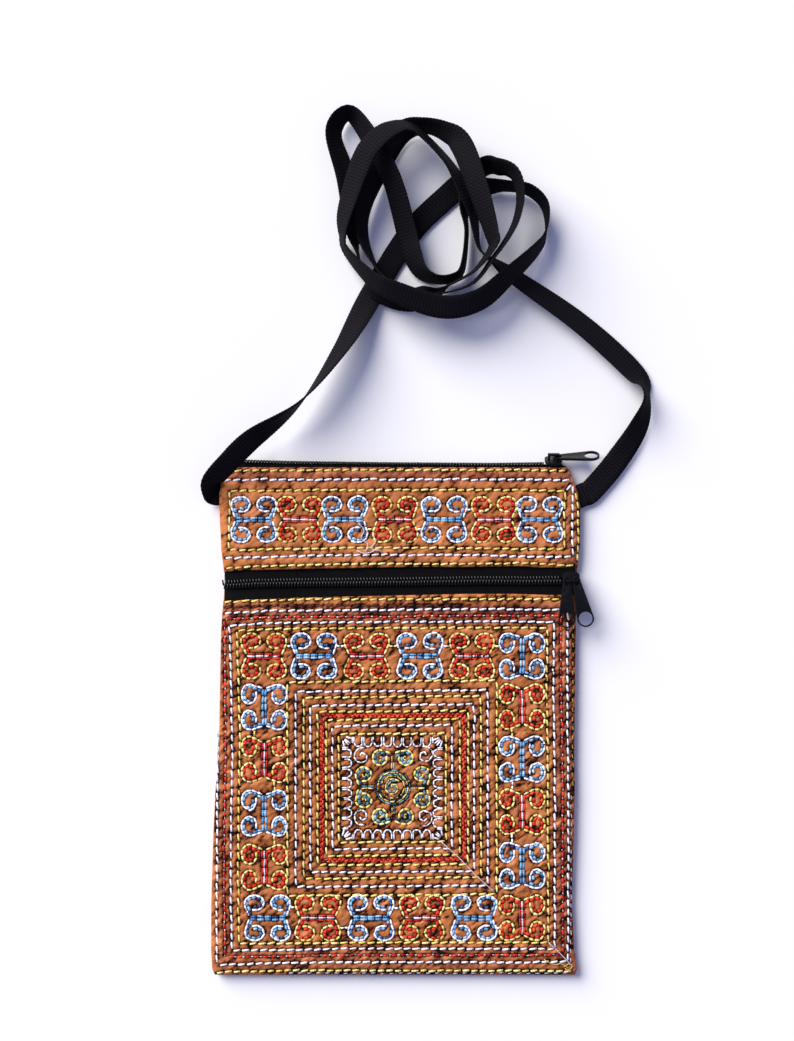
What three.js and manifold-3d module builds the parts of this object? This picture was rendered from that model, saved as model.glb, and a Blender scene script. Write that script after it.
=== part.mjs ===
// Embroidered crossbody bag lying flat on its back, in millimetres.
// X runs across the bag, Y from its bottom edge to its top zip, Z up from the surface that it lies on.
// The origin is on the back face, near the middle of the cloth.

import * as THREE from "three";
import { mergeVertices } from "three/addons/utils/BufferGeometryUtils.js";
import Module from "manifold-3d";

const wasm = await Module();
wasm.setup();

// Cloth
const gap = 0.3;
const clothThickness = 1.6;
const bagTop = 105;
const bagBottom = -107.3;
const crownHeight = 1.6;
const crownRun = 5;
const seamRun = 1.5;

// Front zip: heights on the bag's middle line, and the rise of the whole zip towards the right
const zipRise = 0.0155;
const upperPanelHem = 62;
const frontChainLine = 56.6;
const lowerPanelHem = 50.9;
const tapeThickness = 0.7;
const tapeTuck = 4;
const tapeHalfGap = 0.3;
const tapeSpreadAtSlider = 1.2;
const chainWidth = 4.2;
const chainThickness = 1.4;
const frontTapeEnds = { left: -72.3, right: 75.3 };
const frontChainEnds = { left: -73.6, right: 69.3 };

// Top zip
const topTapeEnds = { left: -66, right: 66.5 };
const topChainEnds = { left: -63.4, right: 62.3 };
const topTapeDepth = 6;
const topLipReach = 105.7;
const topChainFace = 106;

// Sliders and pull tabs
const sliderLength = 7.2;
const sliderPlate = 0.8;
const sliderCorner = 2;
const flangeWidth = 0.7;
const postAcross = 1.2;
const postAlong = 1.6;
const bridgeSpan = 3.8;
const bridgeRise = 2;
const bridgeBar = 0.9;
const bridgeWire = 1.1;
const frontSlider = { x: 73.3, width: 7, chamber: 1.9 };
const topSlider = { x: 66.2, y: 107.6, z: 3.3, width: 6.4, flange: 0.5, tilt: 31 };
const pullLength = 20;
const topPullLength = 18;
const pullThickness = 1.1;
const eyeHole = 0.9;
const eyeWall = 0.75;
const eyeSlot = 1.3;
const ringRadius = 3.5;
const ringHole = 2.9;
const rightPullLean = 14;
const topPullLift = 3;

// Strap
const strapWidth = 10;
const strapThickness = 0.9;
const strapEdge = 0.3;

// Height of each layer above the surface, before the front's crown is added
const tapeLevel = clothThickness + gap;
const panelLevel = tapeLevel + tapeThickness + gap;

// Side seams: the cloth's left and right edges at each height
const sideSeams = [
  { y: 105, left: -72.9, right: 72.2 },
  { y: 100, left: -73.8, right: 74.4 },
  { y: 91.4, left: -74.1, right: 76.4 },
  { y: 62, left: -72.6, right: 75.9 },
  { y: 50, left: -73.5, right: 75.5 },
  { y: -18, left: -75.6, right: 75.2 },
  { y: -77, left: -76.8, right: 74.5 },
  { y: -104, left: -76.5, right: 75.9 },
  { y: -107.3, left: -75, right: 74 },
];

// Puckers of the stitched front: middle, direction in degrees, half length, half width and rise
const puckers = [
  { x: -40, y: 78, angle: 15, length: 16, width: 5, rise: 0.3 },
  { x: 18, y: 84, angle: -20, length: 18, width: 5, rise: -0.3 },
  { x: -44, y: 12, angle: 60, length: 22, width: 7, rise: 0.4 },
  { x: -12, y: -8, angle: -45, length: 26, width: 7, rise: -0.4 },
  { x: 20, y: 2, angle: 40, length: 22, width: 7, rise: 0.5 },
  { x: 34, y: -52, angle: -50, length: 24, width: 7, rise: 0.4 },
  { x: -34, y: -66, angle: 35, length: 24, width: 7, rise: -0.4 },
];

// Strap route from the left side seam to the right one: x, y and z of its middle line,
// and the turn of the ribbon about that line in degrees, where 0 lies flat and 90 stands on edge
const strapRoute = [
  [-74.6, 94, 2, 0], [-77, 94.1, 2.4, 10], [-78.3, 96.4, 5.4, 60], [-76.8, 100.6, 9.2, 49],
  [-70.8, 106.4, 10.8, 34], [-60.3, 116.1, 11.4, 36], [-40, 131.5, 11.6, 90], [-23, 154.5, 8.4, 132],
  [-9.7, 179, 1.4, 176],
  // first diagonal, lowest in the pile
  [6, 204, 1, 180], [21.5, 219.5, 1.2, 186], [35.5, 230.5, 5, 228],
  // inner right loop
  [43, 229.5, 12.5, 248], [49, 225, 17.2, 253], [51.2, 216, 17, 257], [48.5, 204, 17, 258],
  [40.3, 191.3, 17, 260], [30, 180.2, 12.4, 260], [10, 176.3, 11, 264], [0.3, 180.4, 12.2, 262],
  // dark inner left run, under the top arc
  [-7.8, 187.6, 8.6, 262], [-14.3, 203, 5.6, 240], [-12.6, 217.5, 5, 232], [-3.4, 238.5, 2.8, 205],
  [3.8, 246.8, 4, 220],
  // wide right run
  [12, 248, 6.5, 244], [20.5, 244.7, 9.5, 232], [27, 238.5, 13, 206], [33.2, 221.5, 16.6, 215],
  [39.4, 201.5, 16.4, 240], [39.8, 195.6, 17.4, 252], [32, 186, 13.4, 260], [20.6, 180.6, 6.5, 266],
  [12.5, 177, 3.4, 334], [4, 175.6, 2.9, 340], [-6.6, 179, 5.6, 330],
  // left run under the top arc, and the small upper left loop
  [-13, 187.2, 7, 276], [-16.4, 195.2, 5.8, 264], [-18.5, 205, 5, 236], [-21, 226.5, 3.8, 216],
  [-26, 243, 4.8, 228], [-24.8, 250, 5, 234], [-20.6, 253.6, 5.4, 244], [-16.5, 251, 5.8, 236],
  [-9.2, 239, 10.5, 226],
  // bright middle run, turning back up on edge
  [-1.3, 223.7, 9.8, 220], [4.3, 204, 5.8, 214], [6.8, 194.5, 5.6, 220], [10.3, 187.4, 5.4, 238],
  [16.4, 184, 5.6, 256], [23.2, 184.2, 5.6, 258], [27.8, 188.2, 5.7, 258], [29.6, 203, 5.8, 260],
  [28.6, 212, 5.6, 248], [29.8, 218, 4.2, 216], [33, 221.5, 3.4, 200], [38, 222.8, 5, 234],
  // outer right loop and the bottom arc
  [46, 223, 5.7, 256], [56, 221.3, 5.5, 255], [62.6, 214.4, 5.6, 260], [62.8, 203, 5.7, 276],
  [58.4, 195.5, 8.8, 292], [46, 183.3, 14.4, 312], [34, 173.6, 15.6, 327], [18.5, 170.8, 16.2, 336],
  [-1.7, 177.6, 15.8, 319], [-10.2, 182.8, 12.5, 300], [-20.6, 195, 7.6, 282],
  // top left arc
  [-22.4, 202, 9.6, 288], [-21.2, 211, 12.6, 313], [-14.3, 230.8, 16, 335], [-8.8, 239, 17.3, 335],
  [-2.5, 244, 16.6, 326], [3.6, 246.3, 13.4, 308], [10.2, 243.8, 11, 296], [22, 231.7, 9.9, 296],
  [29.4, 218.6, 10, 314], [32.2, 211, 8, 298], [34.6, 198, 5.7, 282],
  // right arm back to the bag
  [38.2, 193.6, 5.6, 284], [50, 185, 4.2, 318], [77.3, 166, 3.2, 336], [99.5, 146, 3, 338],
  [105.2, 136, 5.5, 292], [102.2, 122.5, 4, 328], [92.4, 107, 2, 354], [82.4, 95.3, 1.7, 360],
  [79.4, 93.6, 1.9, 360], [76.8, 93.5, 2, 360],
];

const fabric = (color, roughness) => new THREE.MeshStandardMaterial({ color, roughness, metalness: 0 });
const materials = {
  cloth: fabric(0xb2703c, 0.9),
  back: fabric(0x9c6a45, 0.92),
  tape: fabric(0x14131a, 0.85),
  chain: fabric(0x101014, 0.45),
  strap: fabric(0x0d0c12, 0.8),
  metal: new THREE.MeshStandardMaterial({ color: 0x121214, roughness: 0.35, metalness: 0.7 }),
};

const bag = new THREE.Group();

function addMesh(name, geometry, material, parent = bag) {
  const mesh = new THREE.Mesh(geometry, material);
  mesh.name = name;
  parent.add(mesh);
  return mesh;
}

const radians = THREE.MathUtils.degToRad;
const { lerp, smoothstep } = THREE.MathUtils;

// Cloth edge on one side at a given height, read between the rows of the seam table.
function seam(side, y) {
  const next = sideSeams.findIndex((row) => row.y <= y);
  if (next <= 0) {
    return (next === 0 ? sideSeams[0] : sideSeams.at(-1))[side];
  }
  const [above, below] = [sideSeams[next - 1], sideSeams[next]];
  return lerp(below[side], above[side], (y - below.y) / (above.y - below.y));
}

const swell = (distance, run) => 1 - Math.exp(-Math.max(distance, 0) / run);
const atSlope = (middle, x) => middle + zipRise * x;

// How far the front stands off the back: nothing at the seams, the full crown inside them.
function crown(x, y) {
  const sides = swell(x - seam("left", y), crownRun) * swell(seam("right", y) - x, crownRun);
  return crownHeight * sides * swell(y - bagBottom, crownRun);
}

// The zip keeps level at its right end, where the slider stands.
const zipCrown = (x, y) => crownHeight * swell(x - seam("left", y), crownRun);

function puckerRise(x, y) {
  let rise = 0;
  for (const pucker of puckers) {
    const turn = radians(pucker.angle);
    const along = (x - pucker.x) * Math.cos(turn) + (y - pucker.y) * Math.sin(turn);
    const across = (y - pucker.y) * Math.cos(turn) - (x - pucker.x) * Math.sin(turn);
    rise += pucker.rise * Math.exp(-((along / pucker.length) ** 2) - (across / pucker.width) ** 2);
  }
  return rise;
}

function indexedGeometry(positions, indices) {
  const geometry = new THREE.BufferGeometry();
  geometry.setAttribute("position", new THREE.Float32BufferAttribute(positions, 3));
  geometry.setIndex(indices);
  geometry.computeVertexNormals();
  return geometry;
}

// A wall of cloth: place(u, v) gives a point's x, y and its low and high face, and the border is closed.
function wall(columns, rows, place) {
  const across = columns + 1;
  const layer = across * (rows + 1);
  const low = [];
  const high = [];
  for (let row = 0; row <= rows; row += 1) {
    for (let column = 0; column <= columns; column += 1) {
      const point = place(column / columns, row / rows);
      low.push(point.x, point.y, point.low);
      high.push(point.x, point.y, point.high);
    }
  }
  const indices = [];
  for (let row = 0; row < rows; row += 1) {
    for (let column = 0; column < columns; column += 1) {
      const a = row * across + column;
      const [b, c, d] = [a + 1, a + 1 + across, a + across];
      indices.push(a, c, b, a, d, c);
      indices.push(layer + a, layer + b, layer + c, layer + a, layer + c, layer + d);
    }
  }
  const border = [];
  for (let column = 0; column < columns; column += 1) border.push(column);
  for (let row = 0; row < rows; row += 1) border.push(row * across + columns);
  for (let column = columns; column > 0; column -= 1) border.push(rows * across + column);
  for (let row = rows; row > 0; row -= 1) border.push(row * across);
  border.forEach((a, place) => {
    const b = border[(place + 1) % border.length];
    indices.push(a, b, layer + b, a, layer + b, layer + a);
  });
  return indexedGeometry([...low, ...high], indices);
}

// Sweeps a closed section through a row of frames and closes both ends.
// The two long faces of a flat section are split along the same diagonal, so they stay apart in a twist.
function loft(section, frames) {
  const positions = frames.flatMap((frame) => section.flatMap((point) => frame(point).toArray()));
  const count = section.length;
  const indices = [];
  for (let ring = 0; ring < frames.length - 1; ring += 1) {
    for (let side = 0; side < count; side += 1) {
      const a = ring * count + side;
      const b = ring * count + (side + 1) % count;
      const [c, d] = [b + count, a + count];
      indices.push(...(side < count / 2 ? [a, b, c, a, c, d] : [a, b, d, b, c, d]));
    }
  }
  const last = (frames.length - 1) * count;
  for (const [a, b, c] of THREE.ShapeUtils.triangulateShape(section, [])) {
    indices.push(a, c, b, last + a, last + b, last + c);
  }
  return indexedGeometry(positions, indices);
}

const section = (points) => points.map(([u, v]) => new THREE.Vector2(u, v));
const steps = (count) => Array.from({ length: count + 1 }, (_, index) => index / count);
const finerAtEnds = (u) => 0.5 - 0.5 * Math.cos(Math.PI * u);

// Cloth panels
function frontPoint(x, y) {
  const inset = Math.min(x - seam("left", y), seam("right", y) - x, y - bagBottom);
  const rolled = (panelLevel - tapeLevel) * Math.exp(-Math.max(inset, 0) / seamRun);
  const low = panelLevel + crown(x, y) + puckerRise(x, y) - rolled;
  return { x, y, low, high: low + clothThickness };
}

function acrossCloth(u, y) {
  return lerp(seam("left", y), seam("right", y), finerAtEnds(u));
}

addMesh("back_panel", wall(2, 24, (u, v) => {
  const y = lerp(bagBottom, bagTop, v);
  return { x: lerp(seam("left", y), seam("right", y), u), y, low: 0, high: clothThickness };
}), materials.back);

addMesh("upper_front_panel", wall(26, 9, (u, v) => {
  const x = acrossCloth(u, lerp(upperPanelHem, bagTop, v));
  return frontPoint(x, lerp(atSlope(upperPanelHem, x), bagTop, v));
}), materials.cloth);

addMesh("lower_front_panel", wall(26, 28, (u, v) => {
  const rise = finerAtEnds(v / 2) * 2;
  const x = acrossCloth(u, lerp(bagBottom, lowerPanelHem, rise));
  return frontPoint(x, lerp(bagBottom, atSlope(lowerPanelHem, x), rise));
}), materials.cloth);

// Front zip: each tape is tucked under its panel, and stops short of the panel where the seam pinches it.
function frontTape(side, hem) {
  return wall(34, 3, (u, v) => {
    const x = lerp(frontTapeEnds.left, frontTapeEnds.right, u);
    const spread = lerp(tapeHalfGap, tapeSpreadAtSlider, smoothstep(x, 66, 72));
    const inner = atSlope(frontChainLine, x) + side * spread;
    const tucked = smoothstep(x, -65, -61) * (1 - smoothstep(x, 57, 61));
    const outer = atSlope(hem, x) + side * lerp(-gap, tapeTuck, tucked);
    const y = side > 0 ? lerp(inner, outer, v) : lerp(outer, inner, v);
    const low = tapeLevel + zipCrown(x, y);
    return { x, y, low, high: low + tapeThickness };
  });
}

addMesh("front_zip_upper_tape", frontTape(1, upperPanelHem), materials.tape);
addMesh("front_zip_lower_tape", frontTape(-1, lowerPanelHem), materials.tape);

const chainSection = section([
  [-0.5, -0.3], [-0.36, -0.5], [0.36, -0.5], [0.5, -0.3], [0.5, 0.3], [0.36, 0.5], [-0.36, 0.5], [-0.5, 0.3],
]);

addMesh("front_zip_chain", loft(chainSection, steps(34).map((u) => {
  const x = lerp(frontChainEnds.left, frontChainEnds.right, u);
  const y = atSlope(frontChainLine, x);
  const z = panelLevel + zipCrown(x, y) + chainThickness / 2;
  return (point) => new THREE.Vector3(x, y + point.x * chainWidth, z + point.y * chainThickness);
})), materials.chain);

// Top zip: both tapes turn out at the top edge, and the chain closes them there, facing along Y.
const topMiddle = tapeLevel + (crownHeight + panelLevel - gap - tapeLevel) / 2;

function topTape(side) {
  const flat = bagTop - topTapeDepth;
  const lip = topLipReach - tapeThickness;
  const outline = [[flat, 0], [topLipReach, 0], [topLipReach, 1], [lip, 1], [lip, tapeThickness], [flat, tapeThickness]];
  const turned = outline.map(([y, depth]) => [y, side > 0 ? -depth : depth]);
  const ordered = side > 0 ? turned.reverse() : turned;
  return loft(section(ordered), steps(28).map((u) => {
    const x = lerp(topTapeEnds.left, topTapeEnds.right, u);
    const outside = side > 0 ? panelLevel - gap + crown(x, bagTop) : tapeLevel;
    const reach = side > 0 ? outside - topMiddle : topMiddle - outside;
    const lipLength = Math.max(reach - tapeHalfGap, tapeThickness + tapeHalfGap / 6);
    return (point) => {
      const depth = Math.abs(point.y) === 1 ? Math.sign(point.y) * lipLength : point.y;
      return new THREE.Vector3(x, point.x, outside + depth);
    };
  }));
}

addMesh("top_zip_front_tape", topTape(1), materials.tape);
addMesh("top_zip_back_tape", topTape(-1), materials.tape);

addMesh("top_zip_chain", loft(chainSection, steps(20).map((u) => {
  const x = lerp(topChainEnds.left, topChainEnds.right, u);
  const y = topChainFace + chainThickness / 2;
  return (point) => new THREE.Vector3(x, y - point.y * chainThickness, topMiddle + point.x * chainWidth);
})), materials.chain);

// Closed solids for joining, and back again
function solid(geometry) {
  const bare = geometry.clone();
  bare.deleteAttribute("normal");
  bare.deleteAttribute("uv");
  const merged = mergeVertices(bare);
  return new wasm.Manifold(new wasm.Mesh({
    numProp: 3,
    vertProperties: merged.attributes.position.array,
    triVerts: new Uint32Array(merged.index.array),
  }));
}

function joined(geometries) {
  const [first, ...others] = geometries.map(solid);
  const mesh = others.reduce((sum, other) => sum.add(other), first).getMesh();
  return indexedGeometry(mesh.vertProperties, [...mesh.triVerts]);
}

const box = (x, y, z, low, across = 0, along = 0) =>
  new THREE.BoxGeometry(x, y, z).translate(along, across, low + z / 2);

function roundedPlate(length, width, low) {
  const [x, y, r] = [length / 2, width / 2, sliderCorner];
  const outline = new THREE.Shape();
  outline.absarc(x - r, y - r, r, 0, Math.PI / 2);
  outline.absarc(r - x, y - r, r, Math.PI / 2, Math.PI);
  outline.absarc(r - x, r - y, r, Math.PI, 1.5 * Math.PI);
  outline.absarc(x - r, r - y, r, 1.5 * Math.PI, 2 * Math.PI);
  const options = { depth: sliderPlate, bevelEnabled: false, curveSegments: 4 };
  return new THREE.ExtrudeGeometry(outline, options).translate(0, 0, low);
}

// A slider's outer plate with its side flanges and the bridge that carries the pulls.
// Local Z points out of the zip, and the plate's underside is at zero.
function sliderFace(width, flange) {
  const overlap = 0.2;
  const pieces = [roundedPlate(sliderLength, width, 0)];
  for (const side of [-1, 1]) {
    const across = side * (width - flangeWidth) / 2;
    const straight = sliderLength - 2 * sliderCorner;
    pieces.push(box(straight, flangeWidth, flange + overlap, -flange, across));
    const leg = new THREE.CylinderGeometry(bridgeWire / 2, bridgeWire / 2, bridgeRise + 2 * overlap, 12);
    leg.rotateX(Math.PI / 2).translate(side * bridgeSpan / 2, 0, sliderPlate + bridgeRise / 2);
    pieces.push(leg);
  }
  pieces.push(box(bridgeSpan + bridgeWire, bridgeWire, bridgeBar, sliderPlate + bridgeRise));
  return pieces;
}

// A flat ring-ended tab: a slotted eye at the origin, and a finger ring at the far end along +X.
function pullTab(length) {
  const eyeRadius = eyeHole + eyeWall;
  const ringAt = length - ringRadius;
  const flank = Math.PI / 2 + Math.asin((ringRadius - eyeRadius) / ringAt);
  const outline = new THREE.Shape();
  outline.absarc(ringAt, 0, ringRadius, -flank, flank);
  outline.absarc(0, 0, eyeRadius, flank, 2 * Math.PI - flank);
  const ring = new THREE.Path();
  ring.absarc(ringAt, 0, ringHole, 0, 2 * Math.PI);
  const eye = new THREE.Path();
  eye.absarc(eyeSlot, 0, eyeHole, -Math.PI / 2, Math.PI / 2);
  eye.absarc(0, 0, eyeHole, Math.PI / 2, 1.5 * Math.PI);
  outline.holes.push(ring, eye);
  const options = { depth: pullThickness, bevelEnabled: false, curveSegments: 16 };
  return new THREE.ExtrudeGeometry(outline, options);
}

// Front slider: two plates round the tapes, joined by a post between them.
const frontTapeLow = tapeLevel + crownHeight;
const frontPlateLow = frontTapeLow + tapeThickness + frontSlider.chamber;
const innerPlateLow = frontTapeLow - gap - sliderPlate - frontPlateLow;
const slider = addMesh("front_zip_slider", joined([
  ...sliderFace(frontSlider.width, frontSlider.chamber - gap),
  box(postAlong, postAcross, sliderPlate - innerPlateLow, innerPlateLow, 0, bridgeSpan / 2),
  roundedPlate(sliderLength, frontSlider.width, innerPlateLow),
]), materials.metal);
slider.position.set(frontSlider.x, atSlope(frontChainLine, frontSlider.x), frontPlateLow);

// Both front pulls lie flat, each with its eye round one leg of the bridge.
const frontPulls = [
  { name: "front_zip_pull_left", side: -1, lean: 0 },
  { name: "front_zip_pull_right", side: 1, lean: rightPullLean },
];
for (const { name, side, lean } of frontPulls) {
  const pull = addMesh(name, pullTab(pullLength), materials.metal);
  const eyeHeight = sliderPlate + (bridgeRise - pullThickness) / 2;
  pull.position.copy(slider.position).add(new THREE.Vector3(side * bridgeSpan / 2, 0, eyeHeight));
  pull.rotation.z = radians(lean - 90);
}

// Top slider, turned to face out of the top edge, with its pull lying along the zip.
const topGroup = new THREE.Group();
topGroup.position.set(topSlider.x, topSlider.y, topSlider.z);
topGroup.rotation.x = radians(topSlider.tilt - 90);
bag.add(topGroup);
addMesh("top_zip_slider", joined([
  ...sliderFace(topSlider.width, topSlider.flange),
  box(postAlong, postAcross, sliderPlate + topSlider.flange, -topSlider.flange, 0, bridgeSpan / 2),
]), materials.metal, topGroup);

const topPullGroup = new THREE.Group();
topPullGroup.position.z = sliderPlate + bridgeRise / 2;
topPullGroup.rotation.y = -radians(topPullLift);
topGroup.add(topPullGroup);
const topPull = addMesh("top_zip_pull", pullTab(topPullLength), materials.metal, topPullGroup);
topPull.position.set(eyeHole + eyeWall / 2, 0, -pullThickness / 2);

// Strap: a flat ribbon along its route, rolled about its middle line.
function strapFrame([x, y, z, roll], row) {
  const before = strapRoute[Math.max(row - 1, 0)];
  const after = strapRoute[Math.min(row + 1, strapRoute.length - 1)];
  const middle = new THREE.Vector3(x, y, z);
  const ahead = new THREE.Vector3(...after.slice(0, 3)).sub(new THREE.Vector3(...before.slice(0, 3))).normalize();
  const level = new THREE.Vector3(0, 0, 1).cross(ahead).normalize();
  const across = level.applyAxisAngle(ahead, radians(roll));
  const outward = ahead.clone().cross(across);
  return (point) => middle.clone().addScaledVector(across, point.x).addScaledVector(outward, point.y);
}

const [halfWidth, halfThick] = [strapWidth / 2, strapThickness / 2];
const strapSection = section([
  [-halfWidth, strapEdge - halfThick], [strapEdge - halfWidth, -halfThick],
  [halfWidth - strapEdge, -halfThick], [halfWidth, strapEdge - halfThick],
  [halfWidth, halfThick - strapEdge], [halfWidth - strapEdge, halfThick],
  [strapEdge - halfWidth, halfThick], [-halfWidth, halfThick - strapEdge],
]);
addMesh("strap", loft(strapSection, strapRoute.map(strapFrame)), materials.strap);

export default bag;
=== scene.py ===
"""Looks of an embroidered crossbody bag that lies on its back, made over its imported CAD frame.

X runs across the bag, Y from its bottom edge to its top zip, Z up from the floor.
Shapes are worked out in millimetres, and finished meshes are in metres.
"""

import functools
import itertools
import math

import bmesh
import bpy
import numpy as np
from bpy.props import FloatProperty, FloatVectorProperty, PointerProperty
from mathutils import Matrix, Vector, noise


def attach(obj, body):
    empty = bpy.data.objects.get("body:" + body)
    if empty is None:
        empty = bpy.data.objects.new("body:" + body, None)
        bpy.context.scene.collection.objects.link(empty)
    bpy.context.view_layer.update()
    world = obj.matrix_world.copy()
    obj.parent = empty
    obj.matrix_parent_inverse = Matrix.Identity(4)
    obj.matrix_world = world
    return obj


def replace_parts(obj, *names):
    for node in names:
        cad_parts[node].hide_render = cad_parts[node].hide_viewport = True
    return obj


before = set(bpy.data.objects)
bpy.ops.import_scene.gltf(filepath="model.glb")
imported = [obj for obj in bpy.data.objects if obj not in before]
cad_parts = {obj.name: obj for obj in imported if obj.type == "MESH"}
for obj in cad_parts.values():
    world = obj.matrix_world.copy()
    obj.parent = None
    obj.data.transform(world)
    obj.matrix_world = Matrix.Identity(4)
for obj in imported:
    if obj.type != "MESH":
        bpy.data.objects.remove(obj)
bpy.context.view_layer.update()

bl_info = {
    "name": "Embroidered crossbody bag",
    "version": (1, 0, 0),
    "blender": (4, 5, 0),
    "location": "View3D > Sidebar > Bag",
    "description": "Builds the cloth, stitching, zips and strap of an embroidered crossbody bag",
    "category": "Add Mesh",
}

MM = 0.001
BAG = "bag"


# Settings

def screen(red, green, blue):
    """A screen colour, each channel from 0 to 255, as the linear colour that shaders use."""
    shares = (value / 255 for value in (red, green, blue))
    return tuple(s / 12.92 if s <= 0.04045 else ((s + 0.055) / 1.055) ** 2.4 for s in shares)


def colour(name, description, red, green, blue):
    return FloatVectorProperty(name=name, description=description, default=screen(red, green, blue),
                               subtype="COLOR", size=3, min=0, max=1)


def size(name, description, millimetres):
    return FloatProperty(name=name, description=description, default=millimetres * MM,
                         unit="LENGTH", min=0, precision=5)


def strength(name, description, value):
    return FloatProperty(name=name, description=description, default=value, min=0)


class BagClothSettings(bpy.types.PropertyGroup):
    """Cloth of the front and back panels."""
    front: colour("Front", "Copper brown of the embroidered front", 181, 109, 61)
    border: colour("Border", "Mauve brown of the strips that frame the front", 146, 80, 62)
    back: colour("Back", "Brown of the plain back", 158, 104, 66)
    # The next two colours are painted half shade and painted shade, which the cloth runs through into its
    # holes and creases
    rust: colour("Rust", "Red brown of the cloth beside its creases", 88, 36, 10)
    shade: colour("Shade", "Dark brown of the needle holes and creases", 20, 8, 5)
    thickness: size("Thickness", "Thickness of the shown cloth", 0.9)
    groove: size("Groove", "Depth that a stitch presses the cloth in", 0.45)
    hole: size("Hole", "Depth of the needle hole at the end of a stitch", 0.95)
    pinch: size("Pinch", "Depth of the crease between two stitches", 0.45)
    crease: size("Crease", "Height of the loose creases of the front", 0.4)
    thread: size("Weave", "Distance between two threads of the weave", 0.42)


class BagThreadSettings(bpy.types.PropertyGroup):
    """Embroidery threads."""
    white: colour("White", "White thread", 246, 244, 250)
    yellow: colour("Yellow", "Yellow thread", 238, 214, 110)
    red: colour("Red", "Red thread", 208, 36, 22)
    blue: colour("Blue", "Sky blue of the variegated thread", 98, 166, 216)
    teal: colour("Teal", "Teal thread of the medallion", 82, 150, 172)
    maroon: colour("Maroon", "Faint maroon thread", 92, 36, 30)
    width: size("Width", "Width of a laid thread", 0.92)
    pitch: size("Pitch", "Distance between two running stitches", 3.8)


class BagZipSettings(bpy.types.PropertyGroup):
    """Zips, their sliders and pull tabs."""
    tape: colour("Tape", "Black of the woven tape", 7, 6, 7)
    coil: colour("Coil", "Black of the coil", 8, 8, 9)
    metal: colour("Metal", "Black enamel of the sliders and pulls", 10, 10, 11)
    worn: colour("Worn metal", "Grey where the enamel is rubbed", 46, 46, 49)
    tooth_pitch: size("Tooth pitch", "Distance between two turns of the coil", 1.3)
    edge: size("Edge", "Rounding of the metal edges", 0.22)


class BagStrapSettings(bpy.types.PropertyGroup):
    """Strap ribbon."""
    ribbon: colour("Ribbon", "Black of the ribbed ribbon", 8, 7, 11)
    width: size("Width", "Width of the ribbon", 10)
    thickness: size("Thickness", "Thickness of the ribbon", 0.9)
    rib_pitch: size("Rib pitch", "Distance between two ribs", 1.35)
    rib_height: size("Rib height", "Height of a rib over the valleys", 0.24)


class BagStageSettings(bpy.types.PropertyGroup):
    """Floor, light and camera."""
    floor: colour("Floor", "White of the floor", 246, 246, 248)
    sky: colour("Fill light", "Cool light from all around", 190, 198, 252)
    key: colour("Key light", "Warm light from the upper left", 255, 251, 242)
    key_strength: strength("Key strength", "Strength of the key light", 5.2)
    sky_strength: strength("Fill strength", "Strength of the fill light", 0.44)
    camera_height: size("Camera height", "Height of the camera over the floor", 612)


# Shader expressions

def arithmetic(operation, swapped=False):
    """A method that adds a Math node for a Sock and another Sock or number."""
    def joined(self, other):
        first, second = (other, self) if swapped else (self, other)
        return self.node("Math", {"operation": operation}, {0: first, 1: second})
    return joined


class Sock:
    """One output of a material's nodes: arithmetic adds Math nodes, and node() adds any other."""

    # Scale at which the Wave texture makes one wave to a metre
    WAVE_TURN = math.tau / 20
    # Sockets of the Mix node for colours
    MIX_SHARE, MIX_FIRST, MIX_SECOND, MIX_COLOUR = 0, 6, 7, 2

    def __init__(self, tree, socket=None):
        self.tree = tree
        self.socket = socket

    def node(self, kind, settings=None, inputs=None, output=0):
        made = self.tree.nodes.new("ShaderNode" + kind)
        for key, value in (settings or {}).items():
            if key == "stops":
                ramp = made.color_ramp
                while len(ramp.elements) < len(value):
                    ramp.elements.new(1)
                for element, (position, tint) in zip(ramp.elements, value):
                    element.position, element.color = position, (*tint, 1)
            else:
                setattr(made, key, value)
        for key, value in (inputs or {}).items():
            if isinstance(value, Sock):
                self.tree.links.new(value.socket, made.inputs[key])
            else:
                made.inputs[key].default_value = value
        return Sock(self.tree, made.outputs[output])

    __add__, __radd__ = arithmetic("ADD"), arithmetic("ADD", True)
    __sub__, __rsub__ = arithmetic("SUBTRACT"), arithmetic("SUBTRACT", True)
    __mul__ = arithmetic("MULTIPLY")

    def mixed(self, first, second):
        """Colour from first to second, by this value."""
        first, second = (c if isinstance(c, Sock) else (*c, 1) for c in (first, second))
        inputs = {self.MIX_SHARE: self, self.MIX_FIRST: first, self.MIX_SECOND: second}
        return self.node("Mix", {"data_type": "RGBA"}, inputs, self.MIX_COLOUR)

    def attribute(self, name):
        return self.node("Attribute", {"attribute_name": name}, output="Fac")

    def place(self):
        return self.node("TexCoord", output="Object")

    def speckle(self, vector, scale, detail=2):
        return self.node("TexNoise", None, {"Vector": vector, "Scale": scale, "Detail": detail})

    def bands(self, vector, pitch, direction):
        """Waves of that pitch, in metres, along X, Y, Z or a diagonal."""
        inputs = {"Vector": vector, "Scale": self.WAVE_TURN / pitch}
        return self.node("TexWave", {"bands_direction": direction}, inputs, "Fac")

    def bumped(self, height, distance, strength):
        return self.node("Bump", None, {"Height": height, "Distance": distance, "Strength": strength})


def finish(name, build, **constants):
    """A Principled material: build gives its varying inputs, and the rest are constants on the shader."""
    made = bpy.data.materials.new(name)
    made.use_nodes = True
    tree = made.node_tree
    shader = tree.nodes["Principled BSDF"]
    for key, value in constants.items():
        shader.inputs[key.replace("_", " ")].default_value = value
    for key, value in build(Sock(tree)).items():
        tree.links.new(value.socket, shader.inputs[key])
    return made


# Scales of the cloth's noises to a metre, the size of one painted fold, and the gain and lift of the pale
# patches
# The pale patches are dye that varies at random and painted light on the folds
DYE_SCALE, BLOTCH_SCALE, FIBRE_SCALE = 90, 190, 1400
STREAK_SCALE, FOLD_SIZE = (60, 700, 400), (1 / 210, 1 / 520, 1 / 400)
PALE_GAIN, PALE_LIFT = 1.45, 0.03


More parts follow.
